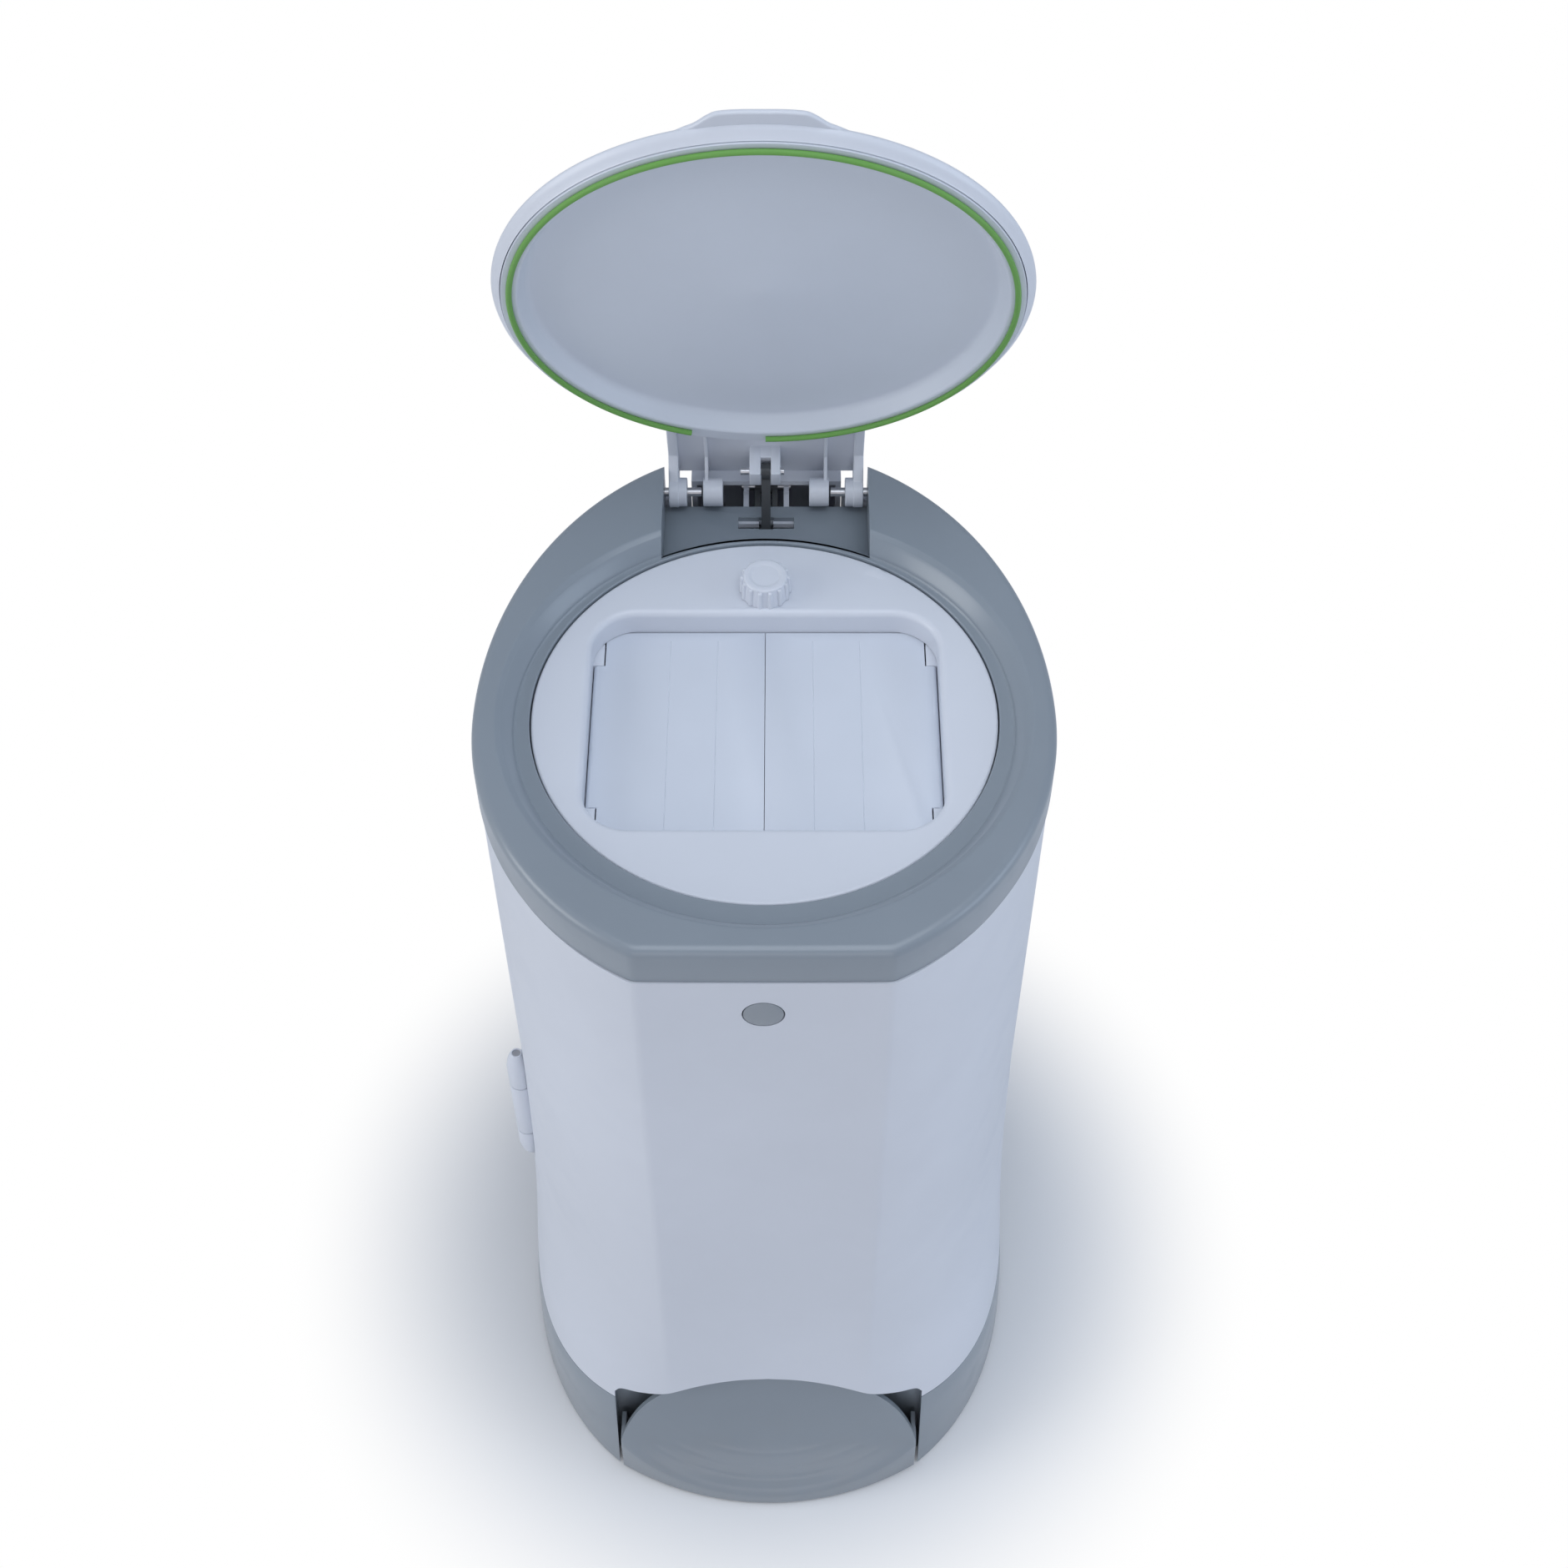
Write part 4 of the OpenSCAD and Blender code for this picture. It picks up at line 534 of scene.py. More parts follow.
@dataclass(frozen=True)
class FlaredForm:
    """Flared body form that the base, the shell and the door share."""

    body_half: float = 147.5
    body_front: float = 157.0
    body_back: float = 184.5
    facet_half: float = 62.5
    base_half: float = 160.0
    base_front: float = 190.0
    base_back: float = 198.0
    base_bow: float = 8.0
    flare_h: float = 300.0
    seam_z: float = 97.0
    seam_tilt: float = 8.65
    level_share: tuple[float, ...] = (0, 0.06, 0.14, 0.24, 0.33, 0.43, 0.55, 0.7, 1)
    side_share: tuple[float, ...] = (1, 0.93, 0.80, 0.60, 0.45, 0.34, 0.25, 0.15, 0)
    front_share: tuple[float, ...] = (1, 0.84, 0.58, 0.30, 0.17, 0.08, 0.03, 0, 0)
    corner_share: tuple[float, ...] = (0.25, 0.35, 0.6, 0.95, 0.9, 0.5, 0.15, 0, 0)
    crease_soften: float = 2.6
    levels: int = 151
    top_level: float = 560.0
    first_low: float = 60.0
    first_high: float = 100.0
    rounds: int = 12

    def track(self, z: float) -> Track:
        """Outline at a height."""
        share = np.array([z / self.flare_h])
        tables = (self.side_share, self.front_share, self.corner_share)
        side, front, corner = (float(Curve2.monotone(self.level_share, table)(share)[0]) for table in tables)
        return outline_track(
            self.body_half + (self.base_half - self.body_half) * side,
            self.body_front + (self.base_front - self.body_front) * front,
            self.body_back + (self.base_back - self.body_back) * side,
            self.facet_half,
            2 + corner,
            self.base_bow * front)

    def seam_at(self, y: "np.ndarray | float") -> "np.ndarray | float":
        """Height of the seam between base and body at a depth."""
        return self.seam_z + y * math.tan(math.radians(self.seam_tilt))

    def crease_mark(self, track: Track) -> float:
        """Mark of the crease beside the front facet."""
        return track.mark_of_x(self.facet_half)

    def sheet(self, marks: Callable[[Track], np.ndarray], low: Callable[[np.ndarray], np.ndarray],
              high: Callable[[np.ndarray], np.ndarray], rows: int, round_about: bool) -> np.ndarray:
        """Sample the form between a lower and an upper limit.

        Args:
            marks: gives the columns' marks on a level's outline.
            low: height of the lower edge for depths of columns.
            high: height of the upper edge for depths of columns.
            rows: number of rows.
            round_about: whether the columns close round the form; if not, its end columns stay sharp.

        Returns:
            Array of shape (rows, columns, 3).
        """
        levels = np.concatenate([np.linspace(0.0, self.flare_h, self.levels), [self.top_level]])
        table = []
        for z in levels:
            track = self.track(z)
            at = marks(track)
            soften = np.full(len(at), self.crease_soften)
            if not round_about:
                room = np.minimum(np.abs(at - at[0]), np.abs(at - at[-1]))
                soften = np.minimum(soften, room)
            table.append(track.softened(at, soften))
        plan = np.array(table)
        count = plan.shape[1]

        def depth(height: np.ndarray) -> np.ndarray:
            """Depth of every column at its own height."""
            return np.array([np.interp(height[c], levels, plan[:, c, 1]) for c in range(count)])

        lower = np.full(count, self.first_low)
        upper = np.full(count, self.first_high)
        for _ in range(self.rounds):
            lower = low(depth(lower))
            upper = high(depth(upper))
        share = np.linspace(0.0, 1.0, rows)
        out = np.zeros((rows, count, 3))
        for c in range(count):
            z = lower[c] + (upper[c] - lower[c]) * share
            out[:, c, 0] = np.interp(z, levels, plan[:, c, 0])
            out[:, c, 1] = np.interp(z, levels, plan[:, c, 1])
            out[:, c, 2] = z
        return out


class Value:
    """Number in a material that Python's operators work on."""

    def __init__(self, recipe: "Recipe", socket: Socket) -> None:
        """Hold a socket and the recipe that it belongs to."""
        self.recipe = recipe
        self.socket = socket

    def __add__(self, other: "Value | float") -> "Value":
        """Sum."""
        return self.recipe.math("ADD", self, other)

    __radd__ = __add__

    def __sub__(self, other: "Value | float") -> "Value":
        """Difference."""
        return self.recipe.math("SUBTRACT", self, other)

    def __rsub__(self, other: "Value | float") -> "Value":
        """Difference from a number."""
        return self.recipe.math("SUBTRACT", other, self)

    def __mul__(self, other: "Value | float") -> "Value":
        """Product."""
        return self.recipe.math("MULTIPLY", self, other)

    __rmul__ = __mul__


class Bench:
    """Node tree of any kind that nodes are added to."""

    def __init__(self, tree: bpy.types.NodeTree) -> None:
        """Hold an empty tree."""
        self.nodes = tree.nodes
        self.links = tree.links
        self.nodes.clear()

    def node(self, kind: str, settings: dict[str, object] | None = None,
             inputs: dict[str | int, object] | None = None) -> bpy.types.Node:
        """Add a node.

        Args:
            kind: the node's type.
            settings: its properties, which are set first.
            inputs: values, numbers or sockets by the name or number of its inputs.

        Returns:
            The new node.
        """
        made = self.nodes.new(kind)
        for name, value in (settings or {}).items():
            setattr(made, name, value)
        self.feed(made, inputs or {})
        return made

    def feed(self, node: bpy.types.Node, inputs: dict[str | int, object]) -> None:
        """Link a node's inputs to values and sockets, or set the inputs' own numbers.

        Args:
            node: the node that is fed.
            inputs: values, numbers or sockets by the name or number of its inputs.
        """
        for name, value in inputs.items():
            source = value.socket if isinstance(value, Value) else value
            if isinstance(source, Socket):
                self.links.new(source, node.inputs[name])
            else:
                node.inputs[name].default_value = source


class Recipe(Bench):
    """Node tree of one material, written as expressions."""

    def __init__(self, name: str) -> None:
        """Start a material with its shader and output."""
        self.material = bpy.data.materials.new(name)
        self.material.use_nodes = True
        super().__init__(self.material.node_tree)
        self.shader = self.node("ShaderNodeBsdfPrincipled")
        self.output = self.node("ShaderNodeOutputMaterial", inputs={"Surface": self.shader.outputs["BSDF"]})

    def math(self, operation: str, first: "Value | float", second: "Value | float") -> Value:
        """Work out a sum of two numbers."""
        made = self.node("ShaderNodeMath", {"operation": operation}, {0: first, 1: second})
        return Value(self, made.outputs[0])

    def noise(self, scale: float, detail: float = 3.0, stretch: Point3 = (1.0, 1.0, 1.0)) -> Value:
        """Noise over the piece's own place, from 0 to 1.

        Args:
            scale: waves in a metre.
            detail: layers of finer noise.
            stretch: scale along each axis.

        Returns:
            The noise.
        """
        place = self.node("ShaderNodeTexCoord").outputs["Object"]
        turned = self.node("ShaderNodeMapping", inputs={"Vector": place, "Scale": stretch})
        made = self.node("ShaderNodeTexNoise", inputs={
            "Vector": turned.outputs["Vector"], "Scale": scale, "Detail": detail})
        return Value(self, made.outputs["Fac"])

    def place(self) -> tuple[Value, Value, Value]:
        """Place over the floor in metres, along X, Y and Z."""
        place = self.node("ShaderNodeTexCoord").outputs["Object"]
        split = self.node("ShaderNodeSeparateXYZ", inputs={0: place})
        return Value(self, split.outputs[0]), Value(self, split.outputs[1]), Value(self, split.outputs[2])

    def spread(self) -> Value:
        """Distance from the upright middle axis in metres."""
        x, y, _ = self.place()
        return self.math("SQRT", x * x + y * y, 0.0)

    def step(self, value: Value, low: float, high: float) -> Value:
        """Ease from 0 at one value to 1 at another."""
        made = self.node("ShaderNodeMapRange", {"interpolation_type": "SMOOTHSTEP"}, {
            "Value": value, "From Min": low, "From Max": high, "To Min": 0.0, "To Max": 1.0})
        return Value(self, made.outputs["Result"])

    def blend(self, mask: "Value | float", first: object, second: object) -> Socket:
        """Mix two colours by a mask.

        Args:
            mask: share of the second colour.
            first: colour or socket where the mask is 0.
            second: colour where the mask is 1.

        Returns:
            Socket of the mixed colour.
        """
        made = self.node("ShaderNodeMix", {"data_type": "RGBA"}, {"Factor": mask})
        first_at, second_at = (at for at, socket in enumerate(made.inputs) if socket.type == "RGBA")
        self.feed(made, {first_at: first, second_at: second})
        return next(socket for socket in made.outputs if socket.type == "RGBA")

    def bump(self, height: Value, distance: float) -> Socket:
        """Normal of a surface raised by a height, in metres at full height."""
        made = self.node("ShaderNodeBump", inputs={"Strength": 1.0, "Distance": distance, "Height": height})
        return made.outputs["Normal"]

    def finish(self, inputs: dict[str | int, object]) -> bpy.types.Material:
        """Feed the shader and give the material."""
        self.feed(self.shader, inputs)
        return self.material


def four(colour: Colour, gain: float = 1.0) -> tuple[float, float, float, float]:
    """Colour with full opacity, made lighter or darker by a factor."""
    red, green, blue = (min(share * gain, 1.0) for share in colour)
    return red, green, blue, 1.0


@dataclass(frozen=True)
class MouldedPlastic:
    """Injection-moulded plastic with a fine grain, faint flow marks and dulled patches."""

    name: str
    slot: str
    colour: Colour
    roughness: float
    mottle: float = 0.03
    soiled: float = 0.0
    coat: float = 0.0
    coat_roughness: float = 0.2
    scuff: float = 0.08
    cloud_dulls: float = 0.03
    grain: float = 0.00002
    grain_scale: float = 1400.0
    wave_scale: float = 9.0
    cloud_scale: float = 5.0
    flow_scale: float = 26.0
    flow_stretch: Point3 = (1.0, 1.0, 0.25)
    flow_gain: float = 0.92
    mark_scale: float = 38.0
    dust_scale: float = 60.0
    dust_top: float = 0.09
    dust: Colour = (0.30, 0.28, 0.25)
    refraction: float = 1.49

    def material(self) -> bpy.types.Material:
        """Build the finish."""
        recipe = Recipe(self.name)
        cloud = recipe.step(recipe.noise(self.cloud_scale, 4.0), 0.35, 0.65)
        flow = recipe.noise(self.flow_scale, 2.0, self.flow_stretch)
        tone = recipe.blend(cloud, four(self.colour, 1.0 - self.mottle), four(self.colour, 1.0 + self.mottle))
        tone = recipe.blend(flow * (self.mottle * 4.0), tone, four(self.colour, self.flow_gain))
        if self.soiled > 0.0:
            foot = 1.0 - recipe.step(recipe.place()[2], 0.0, self.dust_top)
            dust = foot * recipe.noise(self.dust_scale, 5.0) * self.soiled
            tone = recipe.blend(dust, tone, four(self.dust))
        marks = recipe.step(recipe.noise(self.mark_scale, 6.0), 0.45, 0.72)
        fine = recipe.noise(self.grain_scale, 2.0) + recipe.noise(self.wave_scale, 1.0) * 2.0
        return recipe.finish({
            "Base Color": tone, "Roughness": marks * self.scuff + cloud * self.cloud_dulls + self.roughness,
            "Normal": recipe.bump(fine, self.grain), "IOR": self.refraction, "Coat Weight": self.coat,
            "Coat Roughness": self.coat_roughness})


@dataclass(frozen=True)
class Metal:
    """Bright or dark metal with drawn marks along its length."""

    name: str
    slot: str
    colour: Colour
    roughness: float
    brushed: float = 0.12
    drawn_scale: float = 900.0
    drawn_stretch: Point3 = (0.08, 1.0, 1.0)
    drawn_depth: float = 0.00001
    stain_scale: float = 70.0
    stained: float = 0.35
    stain_gain: float = 0.7
    stain_dulls: float = 0.1

    def material(self) -> bpy.types.Material:
        """Build the finish."""
        recipe = Recipe(self.name)
        drawn = recipe.noise(self.drawn_scale, 3.0, self.drawn_stretch)
        stain = recipe.step(recipe.noise(self.stain_scale, 4.0), 0.5, 0.75)
        tone = recipe.blend(stain * self.stained, four(self.colour), four(self.colour, self.stain_gain))
        return recipe.finish({
            "Base Color": tone, "Roughness": drawn * self.brushed + stain * self.stain_dulls + self.roughness,
            "Metallic": 1.0, "Normal": recipe.bump(drawn, self.drawn_depth)})


@dataclass(frozen=True)
class Rubber:
    """Soft rubber, matt, with dust in its pores."""

    name: str
    slot: str
    colour: Colour
    roughness: float
    dusty: float = 0.15
    dust: Colour = (0.35, 0.35, 0.33)
    dust_dulls: float = 0.12
    patch_scale: float = 45.0
    pore_scale: float = 700.0
    pore_depth: float = 0.00004
    sheen: float = 0.35

    def material(self) -> bpy.types.Material:
        """Build the finish."""
        recipe = Recipe(self.name)
        pores = recipe.noise(self.pore_scale, 4.0)
        patch = recipe.step(recipe.noise(self.patch_scale, 4.0), 0.45, 0.7)
        tone = recipe.blend(patch * self.dusty, four(self.colour), four(self.dust))
        return recipe.finish({
            "Base Color": tone, "Roughness": patch * self.dust_dulls + self.roughness,
            "Normal": recipe.bump(pores, self.pore_depth), "Specular IOR Level": self.sheen})


Finish = MouldedPlastic | Metal | Rubber


@dataclass
class FinishShelf:
    """All finishes of the bin, each made once."""

    white: Finish = MouldedPlastic("white_moulding", "white_plastic", (0.70, 0.73, 0.79), 0.30, soiled=0.25)
    flap: Finish = MouldedPlastic("flap_moulding", "white_plastic", (0.69, 0.73, 0.80), 0.34)
    # The liner's colour sits a touch below the white moulding's: this darkening is painted shade of the lid's
    # downward-facing underside.
    liner: Finish = MouldedPlastic("liner_moulding_painted_shade", "lid_liner", (0.66, 0.70, 0.76), 0.42)
    grey: Finish = MouldedPlastic("grey_moulding", "grey_plastic", (0.26, 0.30, 0.34), 0.30, soiled=0.3,
                                  coat=0.35)
    button: Finish = MouldedPlastic("button_moulding", "button_plastic", (0.30, 0.33, 0.36), 0.3)
    dark: Finish = MouldedPlastic("dark_moulding", "dark_plastic", (0.055, 0.06, 0.065), 0.42)
    steel: Finish = Metal("turned_steel", "steel", (0.62, 0.62, 0.63), 0.24)
    spring: Finish = Metal("spring_wire", "spring_steel", (0.46, 0.46, 0.48), 0.3)
    green: Finish = Rubber("green_seal", "seal", (0.156, 0.376, 0.08), 0.5, dusty=0.05)
    black: Finish = Rubber("black_rubber", "rubber", (0.02, 0.02, 0.022), 0.75)
    made: dict[str, bpy.types.Material] = field(default_factory=dict)

    def ready(self, finish: Finish) -> bpy.types.Material:
        """Material of a finish, built when it is first asked for."""
        if finish.name not in self.made:
            self.made[finish.name] = finish.material()
        return self.made[finish.name]

    def put(self, finish: Finish, piece: Piece) -> None:
        """Give a piece a finish all over."""
        piece.data.materials.clear()
        piece.data.materials.append(self.ready(finish))
        for face in piece.data.polygons:
            face.material_index = 0

    def coat_node(self, finish: Finish, node: Piece) -> None:
        """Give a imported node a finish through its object's slots."""
        if not node.data.materials:
            node.data.materials.append(None)
        for place in node.material_slots:
            place.material = self.ready(finish)


@dataclass
class Maker:
    """Hands finished pieces to the frame."""

    shelf: FinishShelf

    def hand_over(self, piece: Piece, body: str, finish: Finish, node: str) -> None:
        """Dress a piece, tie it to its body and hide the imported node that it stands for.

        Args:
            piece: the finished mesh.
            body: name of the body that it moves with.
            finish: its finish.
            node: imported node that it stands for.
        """
        self.shelf.put(finish, piece)
        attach(piece, body)
        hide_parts(node)
        LOG.info("%s: %d faces on %s", piece.name, len(piece.data.polygons), body)


@dataclass
class BodyHousing:
    """White front door, white rear shell and grey flared base."""

    form: FlaredForm = field(default_factory=FlaredForm)
    wall: float = 3.0
    door_edge: float = 36.0
    door_gap: float = 0.6
    body_top: float = 557.6
    rim_gap: float = 2.0
    arch_half: float = 98.0
    arch_side_z: float = 80.0
    arch_z: float = 116.0
    arch_share: tuple[Point2, ...] = ((1, 0), (0.95, 0.18), (0.82, 0.28), (0.67, 0.42), (0.43, 0.75),
                                      (0.21, 0.94), (0, 1))
    axis_x: float = -149.5
    barrel_r: float = 7.0
    bump_z: float = 183.0
    bump_h: float = 115.0
    bump_tip_r: float = 3.5
    bump_taper: float = 13.0
    knuckle_h: float = 53.0
    knuckle_mid_z: float = 239.0
    button_z: float = 530.0
    button_r: float = 10.6
    bump_bore: float = 2.6
    relief_r: float = 6.3
    shell_relief: Point2 = (60.0, 180.0)
    base_relief: Point2 = (90.5, 160.0)
    cover_half: float = 42.3
    cover_low_z: float = 149.7
    hinge_y: float = 164.0
    jamb_half: float = 4.5
    jamb_sink: float = 1.0
    jamb_depth: Point2 = (0.3, 3.8)
    jamb_low: float = 165.0
    toe_wall_y: float = 134.0
    toe_slot: Point2 = (14.0, 62.0)
    shoulder_x: float = 58.0
    shoulder_y: float = 146.5
    shoulder_t: float = 2.5
    shoulder_top: float = 88.0
    cheek_depth: float = 70.0
    cheek_ahead: float = 1.2
    cheek_under: float = 0.6
    plate_floor: float = 7.0
    arch_reach: float = 400.0
    arch_foot: float = -20.0
    hole_reach: Point2 = (-200.0, -120.0)
    window_back: float = 260.0
    window_top: float = 600.0
    body_rows: int = 110
    base_rows: int = 60
    body_middle: float = 320.0
    base_middle: float = 60.0
    edge: float = 0.45
    base_edge: float = 0.6
    inner_edge: float = 0.4

    def door_marks(self, track: Track) -> np.ndarray:
        """Columns of the door, dense beside the creases."""
        crease = self.form.crease_mark(track)
        end = track.mark_of_y(-self.door_edge - self.door_gap / 2)
        right = track.columns(crease, end, (14, 21, 44))
        return np.concatenate([-right[:0:-1], right])

    def shell_marks(self, track: Track) -> np.ndarray:
        """Columns of the rear shell, from the right edge round the back to the left one."""
        start = track.mark_of_y(-self.door_edge + self.door_gap / 2)
        right = np.linspace(start, track.length, 90)
        return np.concatenate([right, 2 * track.length - right[-2::-1]])

    def base_marks(self, track: Track) -> np.ndarray:
        """Columns of the base, closed round the form."""
        return track.closed(track.columns(self.form.crease_mark(track), track.length, (10, 15, 120)))

    def arch_tool(self) -> Piece:
        """Solid in the shape of the pedal opening."""
        half = [(x * self.arch_half, self.arch_side_z + z * (self.arch_z - self.arch_side_z))
                for x, z in self.arch_share]
        right = Curve2.through(half, 8)
        left = [(-x, z) for x, z in right[-2::-1]]
        outline = [(self.arch_half, self.arch_foot), *right, *left, (-self.arch_half, self.arch_foot)]
        return MeshKit.prism("arch_tool", outline, Axis.Y, -self.arch_reach, 0.0)

    def skin(self, name: str, rows: np.ndarray, round_about: bool, middle: float) -> Piece:
        """Wall of a stretch of the form.

        Args:
            name: name of the new piece.
            rows: places of its outer face.
            round_about: whether it closes round the form.
            middle: height of a place inside it.

        Returns:
            The wall.
        """
        wall = MeshKit.grid(name, rows, round_about=round_about)
        MeshKit.face_away(wall, (0, 0, middle))
        MeshKit.thicken(wall, self.wall)
        return wall

    def barrel(self, name: str, profile: Sequence[Point2]) -> Piece:
        """Round piece about the door's axis."""
        return MeshKit.revolve(name, profile, (self.axis_x, -self.door_edge), 64)

    def clear(self, piece: Piece, radius: float, low: float, high: float) -> None:
        """Cut a round room about the door's axis out of a piece."""
        MeshKit.cut(piece, self.barrel("room", [(0, low), (radius, low), (radius, high), (0, high)]))

    def build_door(self) -> Piece:
        """White front with its arch, button hole and hinge knuckle."""
        gap = self.door_gap
        rows = self.form.sheet(self.door_marks, lambda y: self.form.seam_at(y) + gap,
                               lambda y: np.full(len(y), self.body_top - gap), self.body_rows, False)
        door = self.skin("door_panel_skin", rows, False, self.body_middle)
        MeshKit.cut(door, self.arch_tool())
        hole = Curve2.arc((0.0, self.button_z), self.button_r, 0, 352.5, 48)
        MeshKit.cut(door, MeshKit.prism("hole_tool", hole, Axis.Y, *self.hole_reach))
        ends = self.knuckle_h / 2
        free = self.barrel_r + gap
        self.clear(door, free, self.bump_z - gap, self.knuckle_mid_z - ends)
        self.clear(door, free, self.knuckle_mid_z + ends, self.bump_z + self.bump_h + gap)
        MeshKit.bevel(door, self.edge, 2, 50)
        r = self.barrel_r
        bore = self.bump_bore
        low = self.knuckle_mid_z - ends + gap / 2
        high = self.knuckle_mid_z + ends - gap / 2
        knuckle = self.barrel("knuckle", [
            (bore, low), (r - 0.8, low), (r - 0.2, low + 0.2), (r, low + 0.8), (r, high - 0.8),
            (r - 0.2, high - 0.2), (r - 0.8, high), (bore, high), (bore, low)])
        return MeshKit.join("white_door", [door, knuckle], PLAIN_SHADE)

    def bump_end(self, low: float, high: float, tip_low: bool) -> Piece:
        """One tapered end of the hinge bump.

        Args:
            low: height of its lower end.
            high: height of its upper end.
            tip_low: whether the taper is at the lower end.

        Returns:
            The end, bored for the pin.
        """
        r = self.barrel_r
        tip = self.bump_tip_r
        bore = self.bump_bore
        half_way = (0.5 * (tip + r) + 0.5, self.bump_taper * 0.45)
        taper = Curve2.through([(bore, 0), (tip - 0.5, 0.0), (tip, 0.6), half_way, (r, self.bump_taper)], 6)
        height = high - low
        line = [*taper, (r, height - 0.8), (r - 0.2, height - 0.2), (r - 0.8, height), (bore, height),
                (bore, 0)]
        return self.barrel("bump_end", [(x, low + z if tip_low else high - z) for x, z in line])

    def build_shell(self) -> Piece:
        """White rear shell with the window for its spine cover and the ends of the hinge bump."""
        rows = self.form.sheet(self.shell_marks, self.form.seam_at, lambda y: np.full(len(y), self.body_top),
                               self.body_rows, False)
        shell = self.skin("shell_skin", rows, False, self.body_middle)
        half = self.cover_half
        back = self.window_back
        window = [(-half, self.hinge_y), (half, self.hinge_y), (half, back), (-half, back)]
        MeshKit.cut(shell, MeshKit.prism("window_tool", window, Axis.Z, self.cover_low_z, self.window_top))
        self.clear(shell, self.relief_r, *self.shell_relief)
        ends = self.knuckle_h / 2 + self.door_gap
        self.clear(shell, self.barrel_r + self.door_gap, self.knuckle_mid_z - ends, self.knuckle_mid_z + ends)
        MeshKit.bevel(shell, self.edge, 2, 50)
        lower = self.bump_end(self.bump_z, self.knuckle_mid_z - ends, True)
        upper = self.bump_end(self.knuckle_mid_z + ends, self.bump_z + self.bump_h, False)
        jambs = []
        near, far = self.jamb_depth
        for side in (-1, 1):
            x = side * (self.form.body_half - self.wall - self.jamb_half + self.jamb_sink)
            jambs.append(MeshKit.slab("jamb", (x - self.jamb_half, -self.door_edge + near, self.jamb_low),
                                      (x + self.jamb_half, -self.door_edge + far, self.body_top - 0.1)))
        return MeshKit.join("white_rear_shell", [shell, lower, upper, *jambs], PLAIN_SHADE)

    def build_base(self) -> Piece:
        """Grey flared base with the pedal opening, its cheeks and the wall behind the pedal."""
        rows = self.form.sheet(
            self.base_marks, lambda y: np.full(len(y), self.rim_gap), self.form.seam_at, self.base_rows, True)
        base = self.skin("base_skin", rows, True, self.base_middle)
        MeshKit.cut(base, self.arch_tool())
        self.clear(base, self.relief_r, *self.base_relief)
        MeshKit.bevel(base, self.base_edge, 2, 50)
        parts = [base, *(self.cheek(side) for side in (-1, 1)), self.toe_wall()]
        for side in (-1, 1):
            near, far = sorted((side * self.shoulder_x, side * (self.arch_half + 1.0)))
            parts.append(MeshKit.slab("shoulder", (near, -self.shoulder_y, self.plate_floor),
                                      (far, -self.shoulder_y + self.shoulder_t, self.shoulder_top),
                                      self.inner_edge))
        return MeshKit.join("grey_base", parts, PLAIN_SHADE)

    def toe_wall(self) -> Piece:
        """Wall behind the pedal, with the slot that its lever passes."""
        slot_half, slot_top = self.toe_slot
        half = self.arch_half + self.wall / 2
        floor = self.plate_floor
        top = self.arch_z + 2
        outline = [(-half, floor), (-slot_half, floor), (-slot_half, slot_top), (slot_half, slot_top),
                   (slot_half, floor), (half, floor), (half, top), (-half, top)]
        toe = MeshKit.prism("toe_wall", outline, Axis.Y, -self.toe_wall_y - self.wall, -self.toe_wall_y)
        MeshKit.bevel(toe, self.inner_edge, 2)
        return toe

    def cheek(self, side: int) -> Piece:
        """Wall of the base beside the pedal, cut to the flared front."""
        x = self.arch_half + self.wall * 0.5
        front = []
        for z in np.linspace(self.plate_floor, self.arch_side_z, 24):
            track = self.form.track(float(z))
            y = float(track.at(np.array([track.mark_of_x(x)]))[0, 1]) + self.cheek_ahead
            if z < self.form.seam_at(y) - self.cheek_under:
                front.append((y, float(z)))
        back = -self.form.base_front + self.cheek_depth
        last = front[-1][0]
        outline = [(back, self.plate_floor), *front, (last, self.form.seam_at(last) - 0.5),
                   (back, self.form.seam_at(back) - 0.5)]
        ends = sorted((side * (self.arch_half + 0.15), side * (self.arch_half + self.wall)))
        piece = MeshKit.prism("cheek", outline, Axis.X, *ends)
        MeshKit.bevel(piece, self.inner_edge, 2)
        return piece

    def dress(self, maker: Maker) -> None:
        """Build the three housings and hand them over."""
        maker.hand_over(self.build_door(), Body.DOOR.value, maker.shelf.white, "door_panel")
        maker.hand_over(self.build_shell(), Body.BIN.value, maker.shelf.white, "body_shell")
        maker.hand_over(self.build_base(), Body.BIN.value, maker.shelf.grey, "base")


